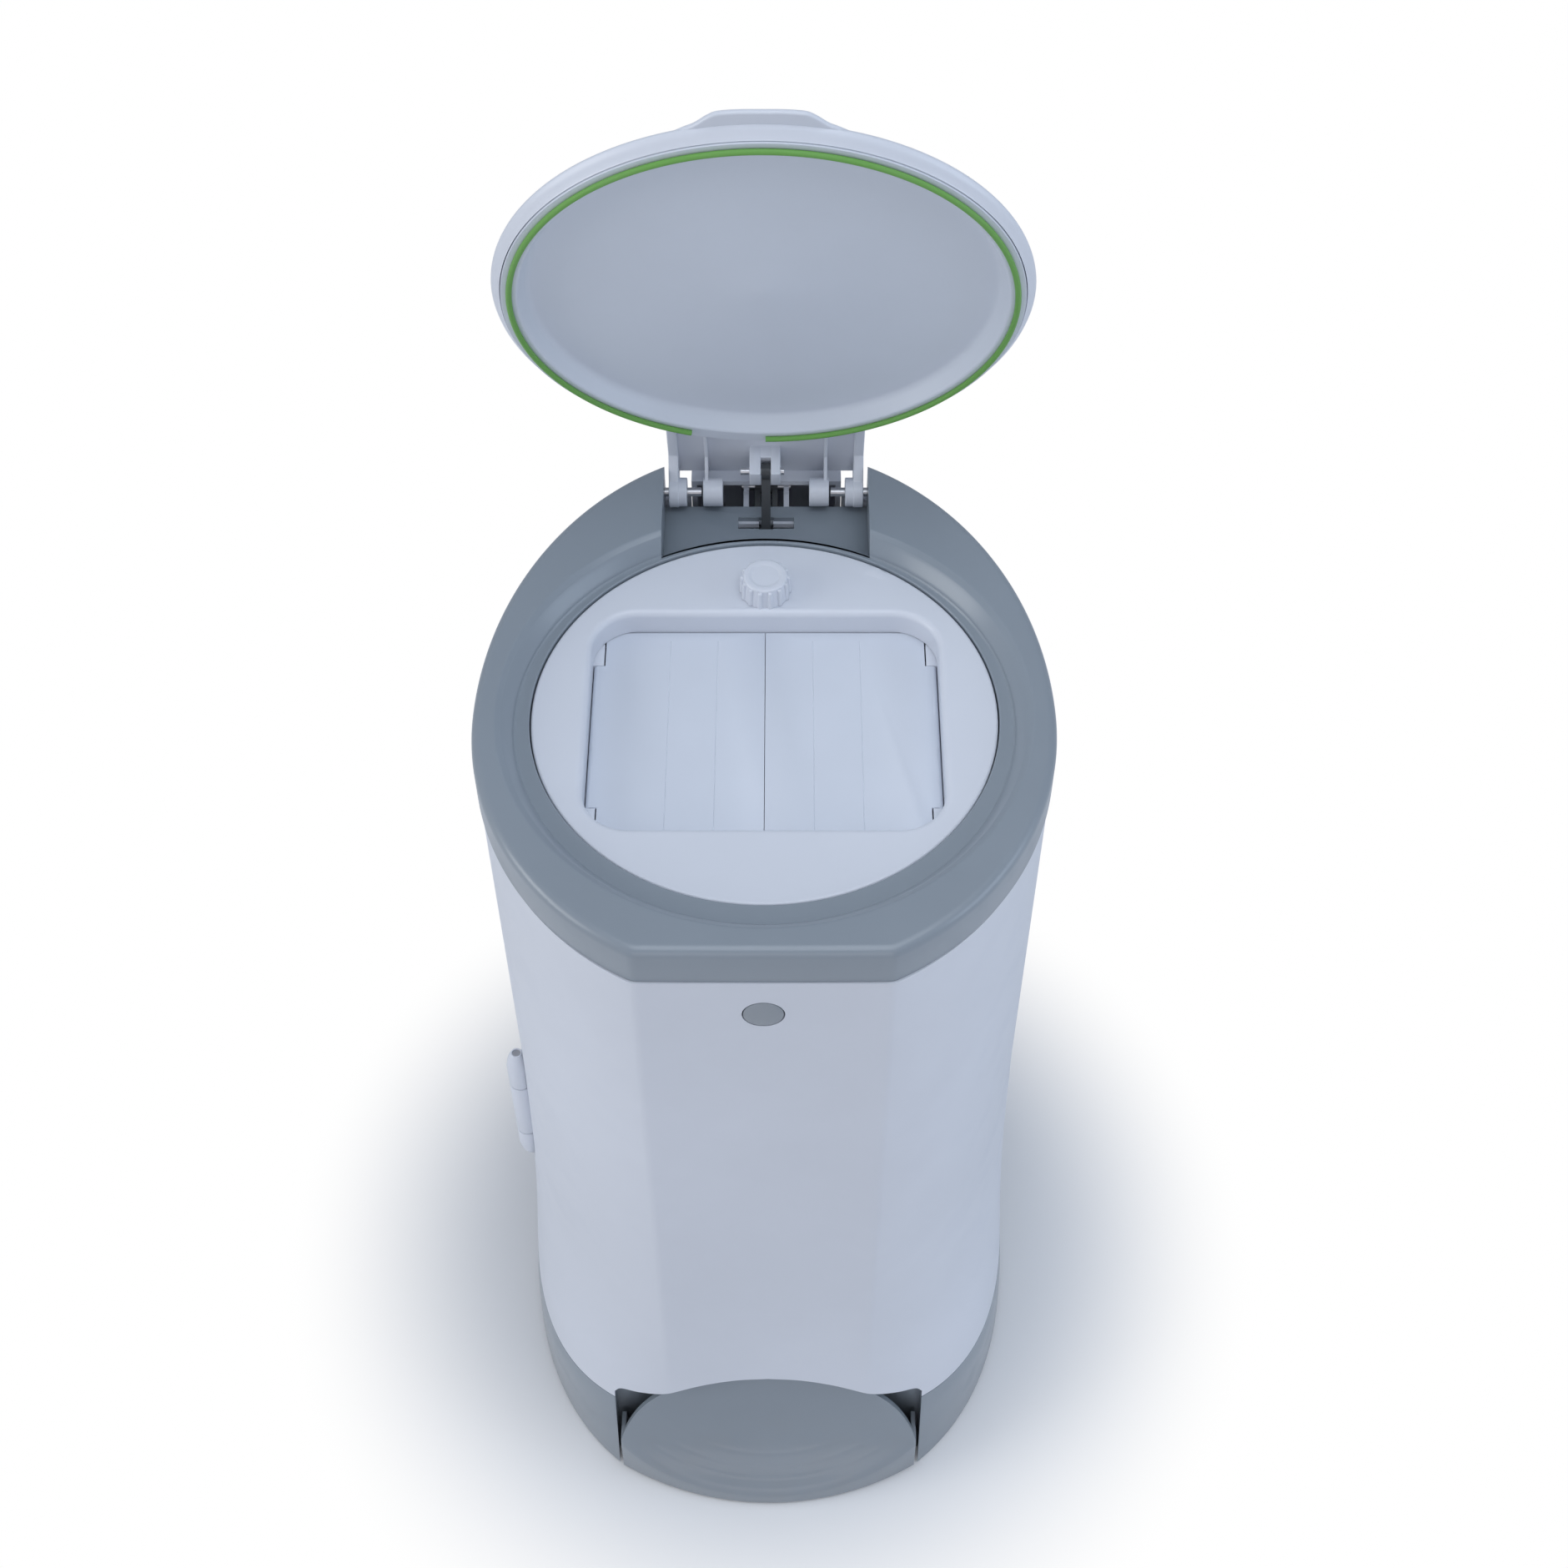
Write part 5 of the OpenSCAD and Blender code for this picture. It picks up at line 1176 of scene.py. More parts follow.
@dataclass
class Collar:
    """Grey ring round the mouth, with its sloped well, the hinge notch and the deck in it."""

    half: float = 148.5
    front: float = 156.0
    back: float = 186.0
    flat: float = 62.5
    bow: float = 0.3
    bottom: float = 557.6
    top: float = 582.0
    edge_r: float = 5.0
    well_y: float = -5.0
    well_r: float = 136.0
    well_floor_r: float = 128.0
    well_floor_z: float = 571.0
    bore_r: float = 120.6
    ledge_r: float = 117.5
    ledge_z: float = 559.6
    notch_half: float = 56.5
    ramp_reach: float = 15.0
    deck_z: float = 556.0
    deck_t: float = 3.0
    deck_front: float = 98.0
    deck_back: float = 163.0
    slot_y: float = 150.2
    bar: Point2 = (15.5, 4.2)
    stem: Point2 = (4.0, 4.75)
    curb_turn: float = 27.4
    curb_inner_turn: float = 28.4
    crease_soften: float = 2.4
    wall_share: tuple[Point2, ...] = ((0, 0), (0.06, 0.18), (0.25, 0.4), (0.6, 0.72), (1, 1))
    lip_off: tuple[Point2, ...] = ((2.2, 0), (1.5, 0), (0.5, -0.25), (-0.2, -0.9))
    foot_off: tuple[Point2, ...] = ((0.1, 0.9), (-0.6, 0.15), (-1.4, 0))

    def column_marks(self, track: Track) -> np.ndarray:
        """Columns round the collar, dense beside the creases."""
        crease = track.mark_of_x(self.flat - 0.01)
        return track.closed(track.columns(crease, track.length, (20, 25, 150)))

    def ring_rows(self) -> np.ndarray:
        """Rows of points over the whole ring, from the outer foot round to it again."""
        levels: list[tuple[float, float]] = [(0.0, self.bottom), (0.0, self.top - self.edge_r - 1.0)]
        for turn in np.linspace(0.0, math.pi / 2, 9):
            levels.append((self.edge_r * (1 - math.cos(turn)),
                           self.top - self.edge_r + self.edge_r * math.sin(turn)))
        rows: list[np.ndarray] = []

        def ring(place: np.ndarray, z: float) -> None:
            """Add a row at a height."""
            rows.append(np.column_stack([place, np.full(len(place), z)]))

        for inset, z in levels:
            track = outline_track(self.half - inset, self.front - inset, self.back - inset,
                                  self.flat - inset / 4, 2.0, self.bow)
            marks = self.column_marks(track)
            ring(track.softened(marks, np.full(len(marks), self.crease_soften)), z)
        outer = rows[-1]
        middle = np.array([0.0, self.well_y])
        way = outer[:, :2] - middle
        way /= np.linalg.norm(way, axis=1)[:, None]
        near = middle + way * (self.well_r + self.lip_off[0][0])
        for share in (0.04, 0.5):
            ring(outer[:, :2] * (1 - share) + near * share, self.top)
        drop = self.top - self.well_floor_z
        wall = [(self.well_floor_r + (self.well_r - self.well_floor_r) * a, self.well_floor_z + drop * b)
                for a, b in self.wall_share]
        slope = Curve2.through(wall[::-1], 6)[3:-3]
        lip = [(self.well_r + a, self.top + b) for a, b in self.lip_off]
        foot = [(self.well_floor_r + a, self.well_floor_z + b) for a, b in self.foot_off]
        for radius, z in [*lip, *slope, *foot]:
            ring(middle + way * radius, z)
        bore = Curve2.rounded([(self.bore_r + 3.0, self.well_floor_z), (self.bore_r, self.well_floor_z),
                               (self.bore_r, self.ledge_z), (self.ledge_r, self.ledge_z),
                               (self.ledge_r, self.bottom)], [0, 0.8, 0.3, 0.4, 0], 4)
        turn = np.arctan2(way[:, 1], way[:, 0])
        round_way = np.column_stack([np.cos(turn), np.sin(turn)])
        for radius, z in bore:
            ring(round_way * radius, z)
        rows.append(rows[0].copy())
        return np.array(rows)

    def notch_tool(self) -> Piece:
        """Solid that clears the lid's hinge out of the collar's back."""
        half = self.notch_half
        ring_r = self.well_floor_r - 1.0
        start = math.degrees(math.acos(half / ring_r))
        ring = Curve2.arc((0.0, self.well_y), ring_r, start, 180.0 - start, 41)
        outline = [(half, self.back + 20.0), *ring, (-half, self.back + 20.0)]
        return MeshKit.prism("notch_tool", outline, Axis.Z, self.deck_z, self.top + 4.0)

    def slot_tool(self) -> Piece:
        """Solid in the shape of the slot that the link passes."""
        bar_x, bar_y = self.bar
        stem_x, stem_y = self.stem
        y = self.slot_y
        quarter = [(bar_x, bar_y), (stem_x, bar_y), (stem_x, stem_y)]
        outline: list[Point2] = []
        for side_x, side_y, way in ((-1, -1, 1), (1, -1, -1), (1, 1, 1), (-1, 1, -1)):
            outline += [(side_x * a, y + side_y * b) for a, b in quarter[::way]]
        return MeshKit.prism("slot_tool", outline, Axis.Z, self.deck_z - 20.0, self.deck_z + 20.0)

    def deck(self) -> Piece:
        """Lowered deck in the notch, with a curb that follows the well."""
        half = self.notch_half + 1.5
        outline = [(-half, self.deck_front), (half, self.deck_front), (half, self.deck_back),
                   (-half, self.deck_back)]
        floor = MeshKit.prism("deck_floor", outline, Axis.Z, self.deck_z - self.deck_t, self.deck_z)
        MeshKit.cut(floor, self.slot_tool())
        MeshKit.bevel(floor, 0.4, 2)
        turn = self.curb_turn
        outer = Curve2.arc((0.0, self.well_y), self.well_floor_r - 0.5, 90 - turn, 90 + turn, 60)
        turn = self.curb_inner_turn
        inner = Curve2.arc((0.0, 0.0), self.bore_r, 90 + turn, 90 - turn, 60)
        curb = MeshKit.prism("deck_curb", [*outer, *inner], Axis.Z, self.deck_z - self.deck_t,
                             self.well_floor_z - 0.3)
        MeshKit.bevel(curb, 0.7, 3)
        return MeshKit.join("deck", [floor, curb, self.ramp()])

    def ramp(self) -> Piece:
        """Slope from the curb down to the deck."""
        across = np.linspace(-self.notch_half - 1.0, self.notch_half + 1.0, 61)
        start = self.well_floor_r - 0.7
        high = self.well_floor_z - 0.4
        levels = []
        for share in np.linspace(0.0, 1.0, 16):
            fall = share * share * (3 - 2 * share)
            levels.append((start + self.ramp_reach * share, high + (self.deck_z + 0.05 - high) * fall))
        levels += [(start + self.ramp_reach, self.deck_z - 1.0), (start, self.deck_z - 1.0), levels[0]]
        rows = [np.column_stack([across, self.well_y + np.sqrt(radius ** 2 - across ** 2), np.full(61, z)])
                for radius, z in levels]
        slope = MeshKit.grid("ramp", np.array(rows))
        MeshKit.weld(slope)
        MeshKit.cap(slope)
        return slope

    def build(self) -> Piece:
        """Whole collar."""
        ring = MeshKit.grid("collar_ring", self.ring_rows(), round_about=True)
        MeshKit.weld(ring)
        MeshKit.cut(ring, self.notch_tool())
        MeshKit.bevel(ring, 0.7, 3, 50)
        return MeshKit.join("grey_collar", [ring, self.deck()], 35.0)

    def dress(self, maker: Maker) -> None:
        """Build the collar and hand it over."""
        maker.hand_over(self.build(), Body.BIN.value, maker.shelf.grey, "collar")


@dataclass
class TrapPlate:
    """White inset plate with its rounded recess, the dish round the knob and a small stud by its edge."""

    radius: float = 120.0
    top: float = 570.0
    thickness: float = 4.0
    skirt: float = 3.0
    low: float = 561.8
    recess_half: float = 91.3
    recess_front: float = 73.3
    recess_back: float = 69.6
    recess_r: float = 24.0
    lip_r: float = 3.5
    edge_r: float = 1.4
    floor_z: float = 555.2
    under_z: float = 547.0
    under_r: float = 4.0
    lug_at: Point2 = (88.3, 552.2)
    lug_r: float = 2.7
    lug_places: tuple[Point2, ...] = ((-64.6, -49.6), (45.9, 60.9))
    recess_wall: float = 3.0
    knob_y: float = 86.0
    dish_half: Point2 = (31.0, 22.0)
    dish_depth: float = 1.4
    stud_at: Point2 = (59.0, 100.0)
    stud_r: float = 3.4
    stud_h: float = 1.3

    def rectangle(self, out: float, radius: float) -> np.ndarray:
        """Rounded rectangle about the recess as a ring of points, dense at its corners.

        Args:
            out: how far it lies outside the recess's wall.
            radius: radius of its corners.

        Returns:
            The places in the floor's plane.
        """
        half = self.recess_half + out
        front = -self.recess_front - out
        back = self.recess_back + out
        right = half - radius
        arcs = [Curve2.arc(middle, radius, start, start + 90.0, 25) for middle, start in (
            ((right, back - radius), 0.0), ((-right, back - radius), 90.0),
            ((-right, front + radius), 180.0), ((right, front + radius), 270.0))]
        ring: list[Point2] = []
        for corner, steps in enumerate((28, 20, 28, 20)):
            ring += arcs[corner]
            end = arcs[corner][-1]
            first = arcs[(corner + 1) % 4][0]
            for share in np.linspace(0.0, 1.0, steps + 2)[1:-1]:
                ring.append((end[0] + (first[0] - end[0]) * share, end[1] + (first[1] - end[1]) * share))
        return np.array(ring)

    def height(self, x: np.ndarray, y: np.ndarray) -> np.ndarray:
        """Height of the plate's upper face with its dish and stud."""
        away = np.sqrt((x / self.dish_half[0]) ** 2 + ((y - self.knob_y) / self.dish_half[1]) ** 2)
        sunk = np.where(away < 1.0, 0.5 + 0.5 * np.cos(np.pi * np.clip(away, 0, 1)), 0.0)
        near = np.hypot(x - self.stud_at[0], y - self.stud_at[1]) / self.stud_r
        stud = np.where(near < 1.0, np.sqrt(np.clip(1.0 - near ** 2, 0, 1)), 0.0)
        return self.top - self.dish_depth * sunk + self.stud_h * stud

    def build(self) -> Piece:
        """Whole plate as one closed skin."""
        rim = self.rectangle(self.lip_r, self.recess_r + self.lip_r)
        middle = np.array([0.0, (self.recess_back - self.recess_front) / 2])
        way = rim - middle
        way /= np.linalg.norm(way, axis=1)[:, None]
        along = way @ -middle
        reach = along + np.sqrt(along ** 2 - (middle @ middle - self.radius ** 2))
        edge = middle + way * reach[:, None]
        edge_way = edge / np.linalg.norm(edge, axis=1)[:, None]
        rows: list[np.ndarray] = []

        def ring(place: np.ndarray, z: float | np.ndarray) -> None:
            """Add a row at a height."""
            rows.append(np.column_stack([place, np.broadcast_to(z, len(place))]))

        inner_skirt = self.radius - self.skirt
        for radius, z in ((inner_skirt, self.top - self.thickness), (inner_skirt, self.low + 0.2),
                          (inner_skirt + 0.3, self.low), (self.radius - 0.3, self.low),
                          (self.radius, self.low + 0.3), (self.radius, self.top - 1.6)):
            ring(edge_way * radius, z)
        for turn in np.linspace(0.0, math.pi / 2, 6):
            ring(edge_way * (self.radius - self.edge_r * (1 - math.cos(turn))),
                 self.top - self.edge_r * (1 - math.sin(turn)))
        outer = edge_way * (self.radius - 1.8)
        inner = self.rectangle(self.lip_r + 0.5, self.recess_r + self.lip_r + 0.5)
        for share in np.linspace(0.0, 1.0, 30):
            place = outer * (1 - share) + inner * share
            ring(place, self.height(place[:, 0], place[:, 1]))
        for turn in np.linspace(math.pi / 2, 0.0, 9):
            out = self.lip_r * (1 - math.cos(turn))
            ring(self.rectangle(out, self.recess_r + out), self.top - self.lip_r * (1 - math.sin(turn)))
        for z in (self.top - self.lip_r - 0.6, self.floor_z + 0.3, self.floor_z):
            ring(self.rectangle(0, self.recess_r), z)
        for z in (self.floor_z, self.under_z):
            ring(self.rectangle(0, self.under_r), z)
        for z in (self.under_z, self.top - self.thickness):
            ring(self.rectangle(self.recess_wall, self.recess_r + self.recess_wall), z)
        rows.append(rows[0].copy())
        plate = MeshKit.grid("plate_skin", np.array(rows), round_about=True)
        MeshKit.weld(plate)
        lugs = [self.lug(side, low, high) for side in (-1, 1) for low, high in self.lug_places]
        return MeshKit.join("white_trap_plate", [plate, *lugs], 38.0)

    def lug(self, side: int, low: float, high: float) -> Piece:
        """Lug in the recess's corner that holds a flap pin's end.

        Args:
            side: 1 for the right and -1 for the left.
            low: depth of its front end.
            high: depth of its back end.

        Returns:
            The lug.
        """
        x, z = self.lug_at
        top = self.floor_z - 0.3
        belly = Curve2.arc((x, z), self.lug_r, 180.0, 330.0, 14)
        wall = self.recess_half + 0.8
        outline = [(x - self.lug_r, top), *belly, (wall, z - 1.0), (wall, top)]
        piece = MeshKit.prism("lug", [(side * a, b) for a, b in outline], Axis.Y, low, high)
        MeshKit.bevel(piece, 0.25, 2, 50)
        return piece

    def dress(self, maker: Maker) -> None:
        """Build the plate and hand it over."""
        maker.hand_over(self.build(), Body.BIN.value, maker.shelf.white, "trap_plate")


@dataclass
class Flaps:
    """Pair of drop flaps that make the recess's floor."""

    split: float = 0.15
    outer: float = 84.9
    front: float = -72.6
    back: float = 68.9
    top: float = 554.9
    thickness: float = 2.5
    axis: Point2 = (88.3, 552.2)
    barrel: Point2 = (-49.3, 45.6)
    barrel_r: float = 2.7
    corner_r: float = 5.0
    pocket_half: float = 11.0
    skin: float = 0.7
    rib: Point2 = (2.0, 4.0)
    inset: float = 6.0
    edge: float = 0.25
    scores: tuple[float, ...] = (25.4, 50.5)
    score: Point2 = (0.7, 0.3)

    def build(self, side: int) -> Piece:
        """One flap; 1 for the right and -1 for the left."""
        x, z = self.axis
        low, high = self.barrel
        corners = [(self.split, self.front), (self.outer, self.front), (self.outer, low), (x, low), (x, high),
                   (self.outer, high), (self.outer, self.back), (self.split, self.back)]
        outline = Curve2.rounded(corners, [0.6, self.corner_r, 0, 0, 0, 0, self.corner_r, 0.6], 6)
        under = self.top - self.thickness
        leaf = MeshKit.prism("leaf", [(side * a, b) for a, b in outline], Axis.Z, under, self.top)
        front = self.front + self.inset
        back = self.back - self.inset
        wide, deep = self.score
        for at in self.scores:
            groove = [(side * (at - wide), self.top + deep), (side * at, self.top - deep),
                      (side * (at + wide), self.top + deep)]
            MeshKit.cut(leaf, MeshKit.prism("groove", groove, Axis.Y, front, back))
        near, far = sorted((side * (x - self.barrel_r - 0.3), side * (x + 5.0)))
        MeshKit.cut(leaf, MeshKit.slab("pocket", (near, -self.pocket_half, z - 4.0),
                                       (far, self.pocket_half, self.top - self.skin), 0.1))
        MeshKit.bevel(leaf, self.edge, 2, 50)
        parts = [leaf]
        near, far = sorted((side * self.split, side * (self.split + self.rib[0])))
        parts.append(MeshKit.slab("edge_rib", (near + 0.05, front, under - self.rib[1]),
                                  (far - 0.05, back, under + 0.4), 0.3))
        round_outline = Curve2.arc((side * x, z), self.barrel_r, 0.0, 345.0, 24)
        for start, end in ((low, -self.pocket_half - 0.2), (self.pocket_half + 0.2, high)):
            tube = MeshKit.prism("barrel", round_outline, Axis.Y, start, end)
            MeshKit.bevel(tube, self.edge, 2, 50)
            parts.append(tube)
        hood = [*Curve2.arc((x, z), self.barrel_r, 0.0, 90.0, 9),
                *Curve2.arc((x, z), self.barrel_r - self.skin, 90.0, 0.0, 9)]
        parts.append(MeshKit.prism("spring_hood", [(side * a, b) for a, b in hood], Axis.Y,
                                   -self.pocket_half - 0.3, self.pocket_half + 0.3))
        return MeshKit.join("left_trap_flap" if side < 0 else "right_trap_flap", parts, 35.0)

    def dress(self, maker: Maker) -> None:
        """Build both flaps and hand them over."""
        maker.hand_over(self.build(-1), Body.FLAP_LEFT.value, maker.shelf.flap, "trap_flap_left")
        maker.hand_over(self.build(1), Body.FLAP_RIGHT.value, maker.shelf.flap, "trap_flap_right")


class Grower(Bench):
    """Geometry Nodes tree that grows one kind of repeated or drawn-out piece."""

    def __init__(self, name: str, sizes: dict[str, float | int]) -> None:
        """Start a tree with named sizes.

        Args:
            name: name of the tree.
            sizes: its inputs and their first values.
        """
        self.tree = bpy.data.node_groups.new(name, "GeometryNodeTree")
        super().__init__(self.tree)
        self.keys: dict[str, str] = {}
        sockets = self.tree.interface
        sockets.new_socket("Geometry", in_out="INPUT", socket_type="NodeSocketGeometry")
        for label, value in sizes.items():
            kind = "NodeSocketInt" if isinstance(value, int) else "NodeSocketFloat"
            socket = sockets.new_socket(label, in_out="INPUT", socket_type=kind)
            socket.default_value = value
            self.keys[label] = socket.identifier
        sockets.new_socket("Geometry", in_out="OUTPUT", socket_type="NodeSocketGeometry")
        self.inlet = self.node("NodeGroupInput")
        self.outlet = self.node("NodeGroupOutput")

    def size(self, label: str) -> Socket:
        """Socket of a named size."""
        return self.inlet.outputs[label]

    def close(self, geometry: Socket, material: bpy.types.Material) -> None:
        """End the tree in real mesh with its finish."""
        real = self.node("GeometryNodeRealizeInstances", inputs={"Geometry": geometry})
        coated = self.node("GeometryNodeSetMaterial", inputs={
            "Geometry": real.outputs["Geometry"], "Material": material})
        self.feed(self.outlet, {0: coated.outputs["Geometry"]})

    def sweep(self, path: Socket, around: int, radius: str, material: bpy.types.Material) -> None:
        """End the tree in a round tube along a curve.

        Args:
            path: the curve.
            around: number of flat steps round the tube.
            radius: name of the size that is the tube's radius.
            material: its finish.
        """
        section = self.node("GeometryNodeCurvePrimitiveCircle", {"mode": "RADIUS"}, {
            "Resolution": around, "Radius": self.size(radius)})
        tube = self.node("GeometryNodeCurveToMesh", inputs={
            "Curve": path, "Profile Curve": section.outputs["Curve"], "Fill Caps": True})
        self.close(tube.outputs["Mesh"], material)

    def grow(self, name: str, sizes: dict[str, float | int], place: Matrix) -> Piece:
        """Grow one piece and settle it as mesh.

        Args:
            name: name of the piece.
            sizes: values of the tree's inputs.
            place: where the piece goes, in metres.

        Returns:
            The grown piece, with its place in its mesh.
        """
        piece = MeshKit.link(name, bpy.data.meshes.new(name))
        step = piece.modifiers.new("grow", "NODES")
        step.node_group = self.tree
        for label, value in sizes.items():
            step[self.keys[label]] = value
        MeshKit.settle(piece)
        piece.data.transform(place)
        return piece


@dataclass
class Knob:
    """White ribbed knob in the plate's dish, on its shaft."""

    y: float = 86.0
    foot: float = 569.43
    top: float = 582.0
    core_low_r: float = 13.0
    core_top_r: float = 11.7
    cap_rim: Point2 = (3.0, 4.2)
    cap_sink: float = 0.5
    ribs: int = 14
    rib_r: float = 1.75
    rib_top_r: float = 1.1
    rib_ring: float = 12.2
    rib_inset: Point2 = (0.1, 1.3)
    shaft_r: float = 4.5
    shaft_low: float = 565.0

    def rib_tree(self, material: bpy.types.Material) -> Grower:
        """Tree that stands ribs in a ring."""
        grower = Grower("grip_ribs", {"Count": 14, "Ring": 0.012, "Rib": 0.0018, "Top": 0.001, "Tall": 0.01})
        ring = grower.node("GeometryNodeMeshCircle", inputs={
            "Vertices": grower.size("Count"), "Radius": grower.size("Ring")})
        rib = grower.node("GeometryNodeMeshCone", {"fill_type": "NGON"}, {
            "Vertices": 20, "Side Segments": 6, "Radius Top": grower.size("Top"),
            "Radius Bottom": grower.size("Rib"), "Depth": grower.size("Tall")})
        stand = grower.node("GeometryNodeInstanceOnPoints", inputs={
            "Points": ring.outputs["Mesh"], "Instance": rib.outputs["Mesh"]})
        grower.close(stand.outputs["Instances"], material)
        return grower

    def build(self, material: bpy.types.Material) -> Piece:
        """Whole knob."""
        centre = (0.0, self.y)
        rim, dish = (self.core_top_r - inset for inset in self.cap_rim)
        floor = self.top - self.cap_sink
        corners = [(0, self.foot), (self.core_low_r, self.foot), (self.core_top_r, self.top), (rim, self.top),
                   (dish, floor), (0, floor)]
        profile = Curve2.rounded(corners, [0, 0.4, 1.2, 0.6, 0.8, 0], 6)
        core = MeshKit.revolve("knob_core", profile, centre, 112)
        lift, short = self.rib_inset
        ribs = self.rib_tree(material).grow("knob_ribs", {
            "Count": self.ribs, "Ring": self.rib_ring * MM, "Rib": self.rib_r * MM,
            "Top": self.rib_top_r * MM, "Tall": (self.top - self.foot - short) * MM},
            shift(0, self.y, self.foot + lift))
        MeshKit.bevel(ribs, 0.5, 3, 50)
        shaft = MeshKit.revolve("knob_shaft", [(0, self.shaft_low), (self.shaft_r, self.shaft_low),
                                               (self.shaft_r, self.foot + 1), (0, self.foot + 1)], centre, 48)
        return MeshKit.join("white_knob", [core, ribs, shaft], 40.0)

    def dress(self, maker: Maker) -> None:
        """Build the knob and hand it over."""
        finish = maker.shelf.white
        maker.hand_over(self.build(maker.shelf.ready(finish)), Body.KNOB.value, finish, "knob")


@dataclass
class Lid:
    """Domed lid with its hinge apron, dished liner and green sealing ring, drawn shut and swung open."""

    centre: Point2 = (0.0, -5.0)
    radius: float = 134.0
    rim_z: float = 582.5
    rim_round: float = 2.5
    rim_wall: float = 4.5
    dome_h: float = 36.0
    wall: float = 2.5
    flange_z: float = 576.0
    rim_share: tuple[Point2, ...] = ((0, 0), (0.22, 0.31), (0.66, 0.62), (0.9, 0.8))
    liner_t: float = 2.0
    dish_r: float = 121.0
    dish_z: float = 585.0
    seal_r: float = 125.0
    seal_bead: float = 1.5
    seal_mid_z: float = 574.6
    seal_break: float = 40.0
    hinge_y: float = 164.0
    hinge_z: float = 566.5
    swing: float = 73.8
    apron_half: float = 54.0
    apron_top: float = 585.0
    apron_t: float = 3.0
    apron_back: float = 168.0
    apron_inset: float = 3.0
    apron_skirt: float = 6.0
    cheek_t: float = 5.5
    boss_r: float = 8.5
    block_r: float = 8.0
    boss_x: Point2 = (44.0, 50.0)
    block_x: Point2 = (24.0, 35.0)
    fin_x: Point2 = (32.0, 34.0)
    pin_r: float = 2.55
    lug_at: Point2 = (146.28, 569.67)
    lug_half: float = 6.3
    lug_under: float = 5.4
    lug_over: float = 5.3
    lug_walls: tuple[Point2, ...] = ((-9, -2.8), (2.8, 8))
    lug_edge: float = 0.6
    tab_half: float = 35.0
    tab_reach: float = 7.5
    tab_z: Point2 = (582.6, 585.4)
    tab_run: Point2 = (9.0, 6.0)
    tab_root: float = 12.0
    tab_edge: float = 1.1
    tab_share: tuple[Point2, ...] = ((1, 0), (0.86, 0.24), (0.70, 0.66), (0.56, 0.90), (0.30, 0.99), (0, 1))

    def open_up(self) -> Matrix:
        """Turn from shut to open about the hinge."""
        hinge = shift(0, self.hinge_y, self.hinge_z)
        return hinge @ Matrix.Rotation(-math.radians(self.swing), 4, "X") @ hinge.inverted()

    def dome(self, radius: float, drop: float = 0.0) -> float:
        """Height at a radius of the dome's outer face, or of one that lies lower by a drop."""
        edge = self.radius - self.rim_round
        ball = (edge * edge + self.dome_h * self.dome_h) / (2 * self.dome_h)
        crown = self.rim_z + self.rim_round + self.dome_h
        return crown - ball + math.sqrt(ball * ball - radius * radius) - drop

    def shell_profile(self) -> list[Point2]:
        """Closed outline of the domed shell's wall."""
        edge = self.radius - self.rim_round
        line: list[Point2] = [(edge * i / 36, self.dome(edge * i / 36)) for i in range(37)]
        line += Curve2.arc((edge, self.rim_z), self.rim_round, 82, 0, 9)[1:]
        foot = [(self.radius - self.rim_wall * a, self.rim_z - (self.rim_z - self.flange_z) * b)
                for a, b in self.rim_share]
        line += Curve2.through(foot, 4)[1:]
        inner = self.radius - self.rim_wall
        line += [(inner + 0.25, self.flange_z + 0.9), (inner, self.flange_z + 1.3), (inner, self.rim_z - 1.0),
                 (inner - 0.6, self.rim_z + 0.6)]
        reach = inner - self.wall
        line += [(reach * i / 30, self.dome(reach * i / 30, self.wall)) for i in range(30, -1, -1)]
        return line

    def tab(self) -> Piece:
        """Rounded grip on the lid's front edge."""
        chord = math.sqrt(self.radius ** 2 - self.tab_half ** 2)
        reach = self.radius + self.tab_reach
        points = [(self.tab_half * a, -chord - (reach - chord) * b) for a, b in self.tab_share]
        run_x, run_y = self.tab_run
        right = Curve2.through([(self.tab_half + run_x, -chord + run_y), *points], 7)
        left = [(-x, y) for x, y in right[-2::-1]]
        outline = [(x, y + self.centre[1]) for x, y in [*right, *left]]
        root = self.centre[1] - self.radius + self.rim_wall + self.tab_root
        outline += [(-self.tab_half, root), (self.tab_half, root)]
        piece = MeshKit.prism("tab", outline, Axis.Z, *self.tab_z)
        MeshKit.bevel(piece, self.tab_edge, 4, 50)
        return piece

    def apron(self) -> list[Piece]:
        """Flat apron behind the lid with its cheeks, bosses, blocks, ribs and lug."""
        ring = self.radius - self.apron_inset
        half = self.apron_half
        back = self.apron_back
        top = self.apron_top
        turn = math.degrees(math.asin(half / ring))
        front = Curve2.arc((0.0, self.centre[1]), ring, 90 - turn, 90 + turn, 30)
        plate = MeshKit.prism("apron", [(half, back), *front, (-half, back)], Axis.Z, top - self.apron_t, top)
        MeshKit.bevel(plate, 0.8, 3)
        start = self.centre[1] + math.sqrt(ring ** 2 - half ** 2) - 0.5
        sides = [piece for side in (-1, 1) for piece in self.hinge_side(side, start)]
        return [plate, *sides, *self.lug()]

